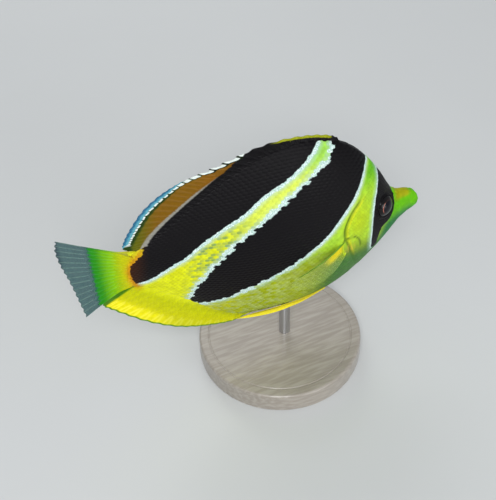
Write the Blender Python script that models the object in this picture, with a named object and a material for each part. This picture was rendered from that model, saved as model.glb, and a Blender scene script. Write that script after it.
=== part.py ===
"""Indian butterflyfish, a life-size still model on a small display stand.

The fish is drawn in its own frame, in lengths of the body from the lips to the end of
the tail stock: x runs back from the lips, y runs up from the midline, z runs out to the
fish's right. One profile of the back, one of the belly and one of the half width give
every cross-section. The head, trunk and tail stock are parts of that one form, and each
fin stands on it. The fish swims level with its nose a little down, heading along +X.
"""
import math

import bmesh
import bpy
from mathutils import Matrix, Vector

# Whole fish
BODY = 0.108                    # lips to the end of the tail stock, the unit of all fractions
NOSE_DOWN = math.radians(6.57)
AXIS_HEIGHT = 0.060             # midline at half length, above the table
GAP = 0.0003                    # between neighbouring pieces
G = GAP / BODY

# Profiles of the flesh, as (distance back, height) in body lengths
BACK = ((0.0, 0.010), (0.008, 0.026), (0.026, 0.043), (0.055, 0.053), (0.087, 0.058),
        (0.112, 0.074), (0.135, 0.103), (0.165, 0.147), (0.21, 0.204), (0.26, 0.254),
        (0.32, 0.298), (0.40, 0.330), (0.50, 0.338), (0.60, 0.314), (0.70, 0.262),
        (0.80, 0.192), (0.90, 0.112), (0.95, 0.078), (1.0, 0.060))
BELLY = ((0.0, -0.011), (0.01, -0.023), (0.035, -0.041), (0.07, -0.068), (0.11, -0.114),
         (0.15, -0.166), (0.20, -0.222), (0.25, -0.264), (0.31, -0.298), (0.38, -0.318),
         (0.46, -0.327), (0.54, -0.330), (0.62, -0.316), (0.70, -0.270), (0.80, -0.188),
         (0.90, -0.110), (0.95, -0.079), (1.0, -0.062))
HALF_WIDTH = ((0.0, 0.010), (0.008, 0.016), (0.018, 0.019), (0.028, 0.019), (0.05, 0.023),
              (0.08, 0.032), (0.12, 0.049), (0.16, 0.062), (0.22, 0.074), (0.30, 0.083),
              (0.40, 0.086), (0.50, 0.080), (0.62, 0.064), (0.74, 0.046), (0.86, 0.030),
              (0.94, 0.020), (1.0, 0.015))
RIDGE = 0.006                   # half width of the flat keel that carries the fins
SIDES = 32                      # points round a cross-section
ROUND = (0.78, 0.62)            # power of the section above and below its middle, in front
KEEN = (1.00, 0.95)             # the same behind, where the flanks run straight into the fins
KEEN_FROM = (0.38, 0.70)        # where the change starts and ends

# Gill cover: its rear edge from the nape down to the throat, as (back, height)
GILL_EDGE = ((0.222, 0.300), (0.236, 0.200), (0.262, 0.125), (0.296, 0.078), (0.312, 0.030),
             (0.308, -0.010), (0.290, -0.050), (0.266, -0.100), (0.240, -0.150),
             (0.214, -0.200), (0.190, -0.280))
GILL_PROUD = 0.0035             # how far the cover stands out of the flank
HEAD_REACH = 0.335              # length of flesh that the head is cut from
TRUNK_FRONT = 0.185             # front of the flesh that the trunk is cut from
TAIL_STOCK_FRONT = 0.925

# Eye
EYE_PLACE = (0.158, 0.050)      # back, height
EYE_RADIUS = 0.034              # of the part that shows
EYE_BALL = 0.044                # radius of the curved front
EYE_DEPTH = 0.016               # of the plain rim behind the curved front
ORBIT_RIM = 0.0042              # radius of the ring of skin round the eye

# Mouth and nostrils
MOUTH_HEIGHT = -0.002
MOUTH_LENGTH = 0.030
MOUTH_OPEN = 0.0045
NOSTRILS = ((0.100, 0.060, 0.0042), (0.112, 0.066, 0.0036))   # back, height, radius

# Fins
WEB = 0.0026                    # half thickness of a membrane
RAY = 0.0046                    # half thickness at a soft ray
SPINE = 0.0066                  # half thickness at a spine
DORSAL_SPINES = 13
DORSAL_RAYS = 20
ANAL_SPINES = 3
ANAL_RAYS = 15
TAIL_RAYS = 15
PECTORAL_RAYS = 14
PELVIC_RAYS = 6
DORSAL_BASE = (0.338, 0.690, 0.965)        # front, change from spines to rays, end
ANAL_BASE = (0.575, 0.985)
SPINY_EDGE = ((0.350, 0.326), (0.375, 0.339), (0.42, 0.351), (0.47, 0.358), (0.53, 0.360),
              (0.60, 0.353), (0.67, 0.335), (0.735, 0.315), (0.780, 0.302))
SOFT_EDGE = ((0.787, 0.300), (0.83, 0.288), (0.87, 0.272), (0.913, 0.247), (0.957, 0.206),
             (0.988, 0.156), (1.006, 0.118), (1.012, 0.088), (0.996, 0.074))
ANAL_EDGE = ((0.592, -0.340), (0.625, -0.352), (0.668, -0.351), (0.715, -0.343),
             (0.770, -0.330), (0.826, -0.310), (0.887, -0.277), (0.948, -0.235),
             (1.005, -0.188), (1.048, -0.150), (1.071, -0.128), (1.075, -0.112))
TAIL_EDGE = ((1.199, 0.154), (1.203, 0.120), (1.192, 0.071), (1.176, 0.025), (1.160, -0.029),
             (1.146, -0.080), (1.132, -0.130))
TAIL_TWIST = 0.022              # sideways sweep of the corners, upper left and lower right
PECTORAL_ROOT = ((0.312, -0.030), (0.296, -0.084))            # upper and lower end, on the flank
PECTORAL_TIPS = ((0.500, -0.088, 0.128), (0.508, -0.112, 0.124), (0.498, -0.142, 0.116),
                 (0.470, -0.170, 0.106), (0.430, -0.186, 0.098), (0.385, -0.178, 0.094))
PECTORAL_RISE = 0.020
PELVIC_LOW = ((0.330, -0.302, 0.031), (0.389, -0.314, 0.031), (0.440, -0.3265, 0.031),
              (0.500, -0.334, 0.031), (0.565, -0.331, 0.030), (0.634, -0.320, 0.027))
PELVIC_HIGH = ((0.334, -0.2935, 0.031), (0.385, -0.3045, 0.031), (0.435, -0.3095, 0.031),
               (0.490, -0.312, 0.031), (0.545, -0.313, 0.030), (0.600, -0.313, 0.028))

# Stand
BASE_RADIUS = 0.030
BASE_THICKNESS = 0.008
BASE_EASE = 0.001
ROD_RADIUS = 0.0020
ROD_X = 0.006                   # place of the rod, close under the balance point


# Curves through named stations

def along(stations, s):
    """Point at s, 0 to 1, on a smooth curve through evenly spaced stations."""
    last = len(stations) - 1
    i = min(int(s * last), last - 1)
    t = s * last - i
    p1, p2 = Vector(stations[i]), Vector(stations[i + 1])
    p0 = Vector(stations[i - 1]) if i > 0 else p1 * 2 - p2
    p3 = Vector(stations[i + 2]) if i + 2 <= last else p2 * 2 - p1
    return ((p1 * 2) + (p2 - p0) * t + (p0 * 2 - p1 * 5 + p2 * 4 - p3) * t * t
            + (p1 * 3 - p0 - p2 * 3 + p3) * t ** 3) * 0.5


def profile(stations, x):
    """Height at distance x on a smooth curve through (x, height) stations."""
    x = min(max(x, stations[0][0]), stations[-1][0])
    count = len(stations)
    slopes = []
    for i in range(count):
        a, b = stations[max(i - 1, 0)], stations[min(i + 1, count - 1)]
        slopes.append((b[1] - a[1]) / (b[0] - a[0]))
    for (xa, ya), (xb, yb), ma, mb in zip(stations, stations[1:], slopes, slopes[1:]):
        if x <= xb:
            step = xb - xa
            t = (x - xa) / step
            return ((2 * t ** 3 - 3 * t * t + 1) * ya + (t ** 3 - 2 * t * t + t) * step * ma
                    + (3 * t * t - 2 * t ** 3) * yb + (t ** 3 - t * t) * step * mb)
    return stations[-1][1]


# Flesh

def flesh(x, t, grow=0.0):
    """Height and half width at distance x; t is 1 on the back and -1 on the belly."""
    top, bottom = profile(BACK, x), profile(BELLY, x)
    half = 0 if t > 0 else 1
    rear = min(max((x - KEEN_FROM[0]) / (KEEN_FROM[1] - KEEN_FROM[0]), 0.0), 1.0)
    rear = rear * rear * (3 - 2 * rear)
    power = ROUND[half] * (1 - rear) + KEEN[half] * rear
    blend = min(x / 0.15, 1.0)
    power = power * blend + 0.5 * (1 - blend)
    ridge = min(RIDGE, 0.5 * profile(HALF_WIDTH, x))
    width = ridge + (profile(HALF_WIDTH, x) + grow - ridge) * max(0.0, 1 - t * t) ** power
    return (top + bottom) / 2 + t * (top - bottom) / 2, width


def on_flank(x, y):
    """Half width of the flesh at distance x and height y."""
    top, bottom = profile(BACK, x), profile(BELLY, x)
    t = (y - (top + bottom) / 2) / ((top - bottom) / 2)
    return flesh(x, max(-1.0, min(1.0, t)))[1]


def flank_normal(x, y):
    """Outward direction of the right flank at distance x and height y."""
    d = 0.004
    slope_x = (on_flank(x + d, y) - on_flank(x - d, y)) / (2 * d)
    slope_y = (on_flank(x, y + d) - on_flank(x, y - d)) / (2 * d)
    return Vector((-slope_x, -slope_y, 1.0)).normalized()


def world(p, side=1):
    """Metres in the fish's own frame for a point in body lengths; side -1 mirrors it."""
    return Vector(((0.5 - p[0]) * BODY, -side * p[2] * BODY, p[1] * BODY))


# Meshes

def finish(name, mesh, colour, roughness, parent, metallic=0.0):
    """Make the object and its material, and shade it smooth."""
    thing = bpy.data.objects.new(name, mesh)
    bpy.context.scene.collection.objects.link(thing)
    thing.parent = parent
    material = bpy.data.materials.new(name)
    material.use_nodes = True
    shader = material.node_tree.nodes["Principled BSDF"]
    shader.inputs["Base Color"].default_value = (*colour, 1.0)
    shader.inputs["Roughness"].default_value = roughness
    shader.inputs["Metallic"].default_value = metallic
    mesh.materials.clear()
    mesh.materials.append(material)
    mesh.shade_smooth()
    mesh.set_sharp_from_angle(angle=math.radians(40))
    return thing


def mesh_from(name, points, faces):
    """A mesh of triangles with its faces pointing out."""
    bm = bmesh.new()
    verts = [bm.verts.new(p) for p in points]
    for face in faces:
        bm.faces.new([verts[i] for i in face])
    bmesh.ops.triangulate(bm, faces=[f for f in bm.faces if len(f.verts) > 3])
    bmesh.ops.recalc_face_normals(bm, faces=bm.faces)
    mesh = bpy.data.meshes.new(name)
    bm.to_mesh(mesh)
    bm.free()
    return mesh


def loft(name, start, end, count, ease=1.0, grow=None):
    """Closed length of the flesh between two distances, its rings closer at the start."""
    points, faces = [], []
    for i in range(count):
        x = start + (end - start) * (i / (count - 1)) ** ease
        for k in range(SIDES):
            angle = 2 * math.pi * (k + 0.5) / SIDES
            t = math.cos(angle) / math.cos(math.pi / SIDES)
            extra = grow(x, t) if grow else 0.0
            y, z = flesh(x, t, extra)
            points.append(world((x, y, math.copysign(z, math.sin(angle)))))
        if i:
            a, b = (i - 1) * SIDES, i * SIDES
            faces += [(a + k, a + (k + 1) % SIDES, b + (k + 1) % SIDES, b + k)
                      for k in range(SIDES)]
    faces.append(tuple(range(SIDES)))
    faces.append(tuple((count - 1) * SIDES + k for k in range(SIDES)))
    return mesh_from(name, points, faces)


def sheet(name, roots, tips, half, rows, flare, side=1, facing=None):
    """Thin fin between a line of roots and a line of tips, alike on both faces.

    roots and tips hold one point for each column, half(i, v) is the half thickness and
    flare(i, v) an added offset of the middle of the fin. A fin with no facing of its own
    is thickened square to its surface.
    """
    columns = len(roots)
    middle = [[roots[i].lerp(tips[i], j / rows) + flare(i, j / rows)
               for j in range(rows + 1)] for i in range(columns)]
    points, faces = [], []
    for turn in (1, -1):
        for i in range(columns):
            for j in range(rows + 1):
                before, after = middle[max(i - 1, 0)][j], middle[min(i + 1, columns - 1)][j]
                low, high = middle[i][max(j - 1, 0)], middle[i][min(j + 1, rows)]
                normal = facing or (after - before).cross(high - low).normalized()
                points.append(world(middle[i][j] + normal * turn * half(i, j / rows), side))
    back = columns * (rows + 1)

    def at(i, j):
        return i * (rows + 1) + j

    for i in range(columns - 1):
        for j in range(rows):
            a, b, c, d = at(i, j), at(i + 1, j), at(i + 1, j + 1), at(i, j + 1)
            for tri in ((a, b, c), (a, c, d)) if (i + j) % 2 else ((a, b, d), (b, c, d)):
                faces += [tri, tuple(k + back for k in reversed(tri))]
    rim = ([at(i, 0) for i in range(columns)] + [at(columns - 1, j) for j in range(1, rows + 1)]
           + [at(i, rows) for i in range(columns - 2, -1, -1)]
           + [at(0, j) for j in range(rows - 1, 0, -1)])
    for a, b in zip(rim, rim[1:] + rim[:1]):
        faces += [(a, b, b + back), (a, b + back, a + back)]
    return mesh_from(name, points, faces)


def prism(name, outline):
    """Slab with the given outline in side view, wider than the fish, for cutting."""
    points = [world((x, y, z)) for z in (-0.2, 0.2) for x, y in outline]
    n = len(outline)
    faces = [tuple(range(n)), tuple(range(n, 2 * n))]
    faces += [(k, (k + 1) % n, n + (k + 1) % n, n + k) for k in range(n)]
    return mesh_from(name, points, faces)


def turned(name, stations, place, axis, segments=24):
    """Solid of revolution through (radius, height) stations, ends closed, along axis."""
    turn = axis.to_track_quat("Z", "Y").to_matrix()
    points, faces = [], []
    for radius, height in stations:
        for k in range(segments):
            angle = 2 * math.pi * k / segments
            ring = Vector((radius * math.cos(angle), radius * math.sin(angle), height))
            points.append(place + turn @ ring)
    for j in range(len(stations) - 1):
        faces += [(j * segments + k, j * segments + (k + 1) % segments,
                   (j + 1) * segments + (k + 1) % segments, (j + 1) * segments + k)
                  for k in range(segments)]
    faces.append(tuple(range(segments)))
    faces.append(tuple((len(stations) - 1) * segments + k for k in range(segments)))
    return mesh_from(name, points, faces)


def combine(thing, meshes, operation):
    """Cut a collection of meshes out of an object, keep what they share, or fuse them."""
    group = bpy.data.collections.new("tools")
    bpy.context.scene.collection.children.link(group)
    for mesh in meshes:
        tool = bpy.data.objects.new("tool", mesh)
        tool.parent = thing.parent
        tool.hide_render = True
        tool.display_type = "WIRE"
        group.objects.link(tool)
    step = thing.modifiers.new("combine", "BOOLEAN")
    step.operation = operation
    step.operand_type = "COLLECTION"
    step.collection = group
    step.solver = "EXACT"
    graph = bpy.context.evaluated_depsgraph_get()
    result = bpy.data.meshes.new_from_object(thing.evaluated_get(graph))
    thing.modifiers.clear()
    thing.data = result
    for tool in list(group.objects):
        bpy.data.objects.remove(tool)
    bpy.data.collections.remove(group)
    keep_largest(thing)


def keep_largest(thing):
    """Drop every closed surface of an object but the largest, and weld its points."""
    bm = bmesh.new()
    bm.from_mesh(thing.data)
    bmesh.ops.remove_doubles(bm, verts=bm.verts, dist=1e-7)
    bmesh.ops.dissolve_degenerate(bm, edges=bm.edges, dist=1e-7)
    bmesh.ops.triangulate(bm, faces=bm.faces)
    left, islands = set(bm.verts), []
    while left:
        front = [left.pop()]
        island = set(front)
        while front:
            for edge in front.pop().link_edges:
                for vert in edge.verts:
                    if vert in left:
                        left.remove(vert)
                        island.add(vert)
                        front.append(vert)
        islands.append(island)
    largest = max(islands, key=len)
    bmesh.ops.delete(bm, geom=[v for v in bm.verts if v not in largest], context="VERTS")
    bm.to_mesh(thing.data)
    bm.free()
    thing.data.shade_smooth()
    thing.data.set_sharp_from_angle(angle=math.radians(40))


# Head, trunk and tail stock

def gill_outline(shift):
    """Side view of all in front of the gill cover's rear edge, moved back by shift."""
    steps = 24
    edge = [along(GILL_EDGE, s / steps) for s in range(steps + 1)]
    moved = []
    for i, point in enumerate(edge):
        run = edge[min(i + 1, steps)] - edge[max(i - 1, 0)]
        moved.append(point + Vector((-run.y, run.x)).normalized() * shift)
    return [(-0.1, 0.3)] + [(p.x, p.y) for p in moved] + [(-0.1, -0.3)]


def gill_rise(x, t):
    """Swelling of the gill cover, growing to its rear edge."""
    back = max(0.0, min(1.0, (x - 0.20) / 0.08))
    middle = max(0.0, 1 - abs((t + 0.10) / 0.75) ** 3)
    return GILL_PROUD * back * middle


def eye_frame(side):
    """Centre and outward axis of an eye, on the surface of the head, in metres."""
    x, y = EYE_PLACE
    centre = world((x, y, on_flank(x, y)), side)
    axis = world(flank_normal(x, y), side) - world((0.0, 0.0, 0.0), side)
    return centre, axis.normalized()


def eye_stations(grow):
    """Curved front, rim and flat back of the eye as (radius, height) in metres."""
    show, ball = EYE_RADIUS * BODY, EYE_BALL * BODY
    sink = math.sqrt(ball ** 2 - show ** 2)
    steps = 7
    reach = math.asin(show / ball)
    stations = [(show + grow, -EYE_DEPTH * BODY - grow)]
    for j in range(steps):
        angle = reach * (1 - j / (steps - 1) * 0.94)
        stations.append(((ball + grow) * math.sin(angle), (ball + grow) * math.cos(angle) - sink))
    return stations


def build_head(pose):
    """Head with gill covers, eye sockets, orbit rims, mouth and nostrils."""
    head = finish("head", loft("head", 0.0, HEAD_REACH, 22, 1.25, gill_rise),
                  (0.55, 0.55, 0.06), 0.45, pose)
    combine(head, [prism("front", gill_outline(0.0))], "INTERSECT")
    rims = []
    for side in (1, -1):
        centre, axis = eye_frame(side)
        outer = EYE_RADIUS * BODY + 2 * ORBIT_RIM * BODY
        inner = EYE_RADIUS * BODY - 0.0006
        high = ORBIT_RIM * BODY * 0.9
        rims.append(turned("rim", [(outer, -0.0022), (outer, 0.0), (outer - high, high),
                                   (inner, high), (inner, -0.0022)], centre, axis))
    combine(head, rims, "UNION")
    cuts = []
    for side in (1, -1):
        centre, axis = eye_frame(side)
        cuts.append(turned("socket", eye_stations(GAP), centre, axis))
        for x, y, radius in NOSTRILS:
            place = world((x, y, on_flank(x, y)), side)
            lean = (world(flank_normal(x, y), side) - world((0, 0, 0), side)).normalized()
            deep = radius * BODY
            cuts.append(turned("nostril", [(deep * 0.6, -deep * 1.6), (deep, deep * 2)],
                               place, lean, 10))
    half = MOUTH_OPEN / 2
    mouth = [(-0.05, MOUTH_HEIGHT + half), (MOUTH_LENGTH, MOUTH_HEIGHT - 0.004),
             (-0.05, MOUTH_HEIGHT - half * 2)]
    cuts.append(prism("mouth", mouth))
    combine(head, cuts, "DIFFERENCE")
    return head


def build_eye(name, side, pose):
    """One eye, a flat-backed lens."""
    centre, axis = eye_frame(side)
    return finish(name, turned(name, eye_stations(0.0), centre, axis, 32),
                  (0.02, 0.015, 0.015), 0.1, pose)


def build_trunk(pose):
    """Flesh from the gill covers to the tail stock."""
    trunk = finish("trunk", loft("trunk", TRUNK_FRONT, TAIL_STOCK_FRONT - G, 30),
                   (0.55, 0.55, 0.05), 0.45, pose)
    combine(trunk, [prism("front", gill_outline(G))], "DIFFERENCE")
    return trunk


def build_tail_stock(pose):
    """Flesh that carries the tail fin."""
    return finish("tail_stock", loft("tail_stock", TAIL_STOCK_FRONT, 1.0, 6),
                  (0.03, 0.02, 0.02), 0.45, pose)


# Fins

def ridge(spines):
    """Half thickness of a fin whose even columns are spines, then rays, tapering out."""
    def half(i, v):
        if i % 2:
            return WEB
        return (SPINE if i // 2 < spines else RAY) * (1 - 0.45 * v)
    return half


def straight(i, v):
    """No added offset."""
    return Vector((0.0, 0.0, 0.0))


def median_fin(name, base, edge, rays, spines, rows, notch, colour, pose):
    """Fin on the fish's midline; base(s) and edge(s) give its root and its margin."""
    columns = 2 * (rays + spines) - 1
    roots, tips = [], []
    for i in range(columns):
        s = i / (columns - 1)
        root, tip = base(s).to_3d(), edge(s).to_3d()
        if i % 2:
            tip = tip.lerp(root, notch)
        roots.append(root)
        tips.append(tip)
    mesh = sheet(name, roots, tips, ridge(spines), rows, straight)
    return finish(name, mesh, colour, 0.4, pose)


def back_line(start, end, profile_points, lift):
    """Root line of a fin along the back or belly, clear of the flesh by the gap."""
    def base(s):
        x = start + (end - start) * s
        return Vector((x, profile(profile_points, x) + lift))
    return base


def build_dorsal(pose):
    """Back fin: spines folded down over the back, then the soft part."""
    front, change, end = DORSAL_BASE
    median_fin("dorsal_fin_spines", back_line(front, change - 2 * G, BACK, 1.4 * G),
               lambda s: along(SPINY_EDGE, s), 0, DORSAL_SPINES, 4, 0.16,
               (0.04, 0.03, 0.03), pose)
    median_fin("dorsal_fin_soft", back_line(change, end, BACK, 1.4 * G),
               lambda s: along(SOFT_EDGE, s), DORSAL_RAYS, 0, 6, 0.02,
               (0.75, 0.35, 0.02), pose)


def build_anal(pose):
    """Anal fin with its three spines in front."""
    front, end = ANAL_BASE
    median_fin("anal_fin", back_line(front, end, BELLY, -1.4 * G),
               lambda s: along(ANAL_EDGE, s), ANAL_RAYS, ANAL_SPINES, 6, 0.02,
               (0.8, 0.65, 0.02), pose)


def build_tail(pose):
    """Tail fin, its corners swept a little sideways."""
    columns = 2 * TAIL_RAYS - 1
    top, bottom = profile(BACK, 1.0) - 0.004, profile(BELLY, 1.0) + 0.004
    roots, tips = [], []
    for i in range(columns):
        s = i / (columns - 1)
        roots.append(Vector((1.0 + G, top + (bottom - top) * s, 0.0)))
        tip = along(TAIL_EDGE, s).to_3d()
        if i % 2:
            tip = tip.lerp(roots[-1], 0.015)
        tips.append(tip)

    def sweep(i, v):
        return Vector((0.0, 0.0, TAIL_TWIST * (2 * i / (columns - 1) - 1) * v ** 1.5))

    mesh = sheet("caudal_fin", roots, tips, ridge(0), 7, sweep)
    finish("caudal_fin", mesh, (0.7, 0.6, 0.03), 0.4, pose)


def build_pectoral(name, side, pose):
    """Side fin, leaving the flank behind the gill cover and lying back along it."""
    columns = 2 * PECTORAL_RAYS - 1
    roots, tips, out = [], [], []
    for i in range(columns):
        s = i / (columns - 1)
        x, y = Vector(PECTORAL_ROOT[0]).lerp(Vector(PECTORAL_ROOT[1]), s)
        normal = flank_normal(x, y)
        roots.append(Vector((x, y, on_flank(x, y))) + normal * G * 1.3)
        out.append(normal)
        tip = along(PECTORAL_TIPS, s)
        tips.append(tip.lerp(roots[-1], 0.02) if i % 2 else tip)

    def rise(i, v):
        return out[i] * PECTORAL_RISE * (1 - (1 - v) ** 4) * (1 - v) ** 0.5

    mesh = sheet(name, roots, tips, ridge(0), 8, rise, side)
    finish(name, mesh, (0.75, 0.7, 0.1), 0.35, pose)


def build_pelvic(name, side, pose):
    """Belly fin, folded back under the belly with its spine lowest."""
    columns = 2 * PELVIC_RAYS - 1

    def across(i, v):
        return along(PELVIC_LOW, v).lerp(along(PELVIC_HIGH, v), i / (columns - 1))

    roots = [across(i, 0.0) for i in range(columns)]
    tips = [across(i, 1.0).lerp(roots[i], 0.03 if i % 2 else 0.0) for i in range(columns)]

    def sag(i, v):
        return across(i, v) - across(i, 0.0).lerp(across(i, 1.0), v)

    mesh = sheet(name, roots, tips, ridge(1), 8, sag, side, Vector((0.0, 0.0, 1.0)))
    finish(name, mesh, (0.9, 0.75, 0.02), 0.4, pose)


# Stand

def build_stand(pose):
    """Round base and the rod that reaches the belly."""
    segments = 48
    rim = [(BASE_RADIUS, 0.0), (BASE_RADIUS, BASE_THICKNESS - BASE_EASE),
           (BASE_RADIUS - BASE_EASE * 0.3, BASE_THICKNESS - BASE_EASE * 0.3),
           (BASE_RADIUS - BASE_EASE, BASE_THICKNESS)]
    up = Vector((0.0, 0.0, 1.0))
    finish("stand_base", turned("stand_base", rim, Vector((0.0, 0.0, 0.0)), up, segments),
           (0.35, 0.31, 0.27), 0.35, None)
    x_at = 0.5 - ROD_X / BODY
    belly = pose.matrix_world @ world((x_at, profile(BELLY, x_at), 0.0))
    foot = BASE_THICKNESS + GAP
    top = belly.z - GAP * 2.5
    place = Vector((belly.x, 0.0, 0.0))
    finish("stand_rod", turned("stand_rod", [(ROD_RADIUS, foot), (ROD_RADIUS, top - 0.0006),
                                             (ROD_RADIUS * 0.7, top)], place, up, 20),
           (0.7, 0.7, 0.72), 0.25, None, 1.0)


def main():
    """Build the fish and its stand."""
    for old in list(bpy.data.objects):
        bpy.data.objects.remove(old)
    pose = bpy.data.objects.new("fish_pose", None)
    bpy.context.scene.collection.objects.link(pose)
    pose.matrix_world = Matrix.Translation((0.0, 0.0, AXIS_HEIGHT)) @ Matrix.Rotation(
        NOSE_DOWN, 4, "Y")
    bpy.context.view_layer.update()
    build_head(pose)
    build_trunk(pose)
    build_tail_stock(pose)
    for name, side in (("right", 1), ("left", -1)):
        build_eye("eye_" + name, side, pose)
        build_pectoral("pectoral_fin_" + name, side, pose)
        build_pelvic("pelvic_fin_" + name, side, pose)
    build_dorsal(pose)
    build_anal(pose)
    build_tail(pose)
    build_stand(pose)


main()
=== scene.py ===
"""Looks of the Indian butterflyfish model: skin, scales, fins, eyes, stand, light and view.

Everything is drawn in the fish's own frame, in body lengths: x runs back from the lips,
y runs up from the midline, z runs out of the flank. FishForm.place turns such points into
metres in the shared frame.
"""
from __future__ import annotations

import logging
import math
from collections.abc import Callable
from dataclasses import dataclass, field
from enum import Enum
from functools import reduce

import bpy
import numpy as np
from mathutils import Matrix, Vector


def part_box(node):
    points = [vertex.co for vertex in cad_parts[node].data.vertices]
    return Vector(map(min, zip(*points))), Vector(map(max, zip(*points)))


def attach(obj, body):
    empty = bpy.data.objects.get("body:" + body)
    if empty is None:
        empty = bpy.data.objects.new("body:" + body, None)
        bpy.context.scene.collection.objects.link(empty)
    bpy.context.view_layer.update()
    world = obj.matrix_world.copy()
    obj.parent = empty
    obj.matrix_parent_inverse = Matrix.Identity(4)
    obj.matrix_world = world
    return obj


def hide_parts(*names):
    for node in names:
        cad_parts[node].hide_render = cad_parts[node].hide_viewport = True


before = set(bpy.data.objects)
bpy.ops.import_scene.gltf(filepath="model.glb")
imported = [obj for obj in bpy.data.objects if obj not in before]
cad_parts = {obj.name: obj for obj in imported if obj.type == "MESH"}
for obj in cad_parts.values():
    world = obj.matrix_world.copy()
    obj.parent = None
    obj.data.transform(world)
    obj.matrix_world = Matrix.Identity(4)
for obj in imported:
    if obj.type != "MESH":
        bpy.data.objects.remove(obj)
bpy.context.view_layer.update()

log = logging.getLogger("butterflyfish")
Array = np.ndarray
Colour = tuple[float, float, float]

# Length from the lips to the end of the tail stock, the turn of the body and the height of
# its midline above the table, in metres and radians.
BODY = 0.108
NOSE_DOWN = math.radians(6.57)
AXIS_HEIGHT = 0.060
SCALE_SEED = 7


class Side(Enum):
    """A flank of the fish; its value is the sign of the distance out."""

    RIGHT = 1
    LEFT = -1

    @property
    def word(self) -> str:
        """The side as the names of pieces and nodes have it."""
        return self.name.lower()


def srgb(red: float, green: float, blue: float) -> Colour:
    """Linear colour for a display colour given in 0 to 255.

    Each channel c, as a share of 255, becomes ((c + 0.055) / 1.055) to the power 2.4.

    Args:
        red: Display red.
        green: Display green.
        blue: Display blue.

    Returns:
        The linear colour.
    """
    return tuple((((c / 255.0) + 0.055) / 1.055) ** 2.4 for c in (red, green, blue))


def ramp(value: Array, low: float, high: float) -> Array:
    """Smooth step from 0 at low to 1 at high: 3 t squared less 2 t cubed.

    Args:
        value: Where to read the step.
        low: Value where the step starts.
        high: Value where the step ends; it may be below low.

    Returns:
        The step, of the shape of value.
    """
    t = np.clip((value - low) / (high - low), 0.0, 1.0)
    return t * t * (3.0 - 2.0 * t)


def bell(value: Array, width: float) -> Array:
    """Bell curve: e to the minus (value / width) squared."""
    return np.exp(-np.square(value / width))


def unit(vectors: Array) -> Array:
    """Vectors divided by their lengths, along the last axis."""
    return vectors / np.maximum(np.linalg.norm(vectors, axis=-1, keepdims=True), 1e-12)


def span(x: Array, y: Array, place: tuple[float, ...]) -> Array:
    """Distance in side view from a place: the root of the sum of the squares."""
    return np.hypot(x - place[0], y - place[1])


def mix(share: Array, first: Colour, second: Colour) -> Array:
    """Colours between two, one for each share."""
    share = share[..., None]
    return np.asarray(first) * (1 - share) + np.asarray(second) * share


def layered(base: Array, *layers: tuple[Colour, Array]) -> Array:
    """Colours with others laid over them in turn: base + (colour - base) times the share.

    Args:
        base: Colours to start from.
        layers: A colour and its shares for each layer.

    Returns:
        Colours, of the shape of base.
    """
    for colour, share in layers:
        base = base + (np.asarray(colour) - base) * share[..., None]
    return base


@dataclass(frozen=True)
class Profile:
    """Smooth curve of height against distance through named stations."""

    stations: tuple[tuple[float, float], ...]

    def __call__(self, x: Array) -> Array:
        """Height at x: a cubic through each pair of stations.

        The slope at a station is the rise over the run between its two neighbours.

        Args:
            x: Distances back from the lips.

        Returns:
            Heights, of the shape of x.
        """
        k = np.asarray(self.stations)
        xs, ys = k[:, 0], k[:, 1]
        x = np.clip(x, xs[0], xs[-1])
        low = np.maximum(np.arange(len(xs)) - 1, 0)
        high = np.minimum(np.arange(len(xs)) + 1, len(xs) - 1)
        slope = (ys[high] - ys[low]) / (xs[high] - xs[low])
        i = np.clip(np.searchsorted(xs, x, side="left") - 1, 0, len(xs) - 2)
        step = xs[i + 1] - xs[i]
        t = (x - xs[i]) / step
        return ((2 * t**3 - 3 * t**2 + 1) * ys[i] + (t**3 - 2 * t**2 + t) * step * slope[i]
                + (3 * t**2 - 2 * t**3) * ys[i + 1] + (t**3 - t**2) * step * slope[i + 1])


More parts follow.
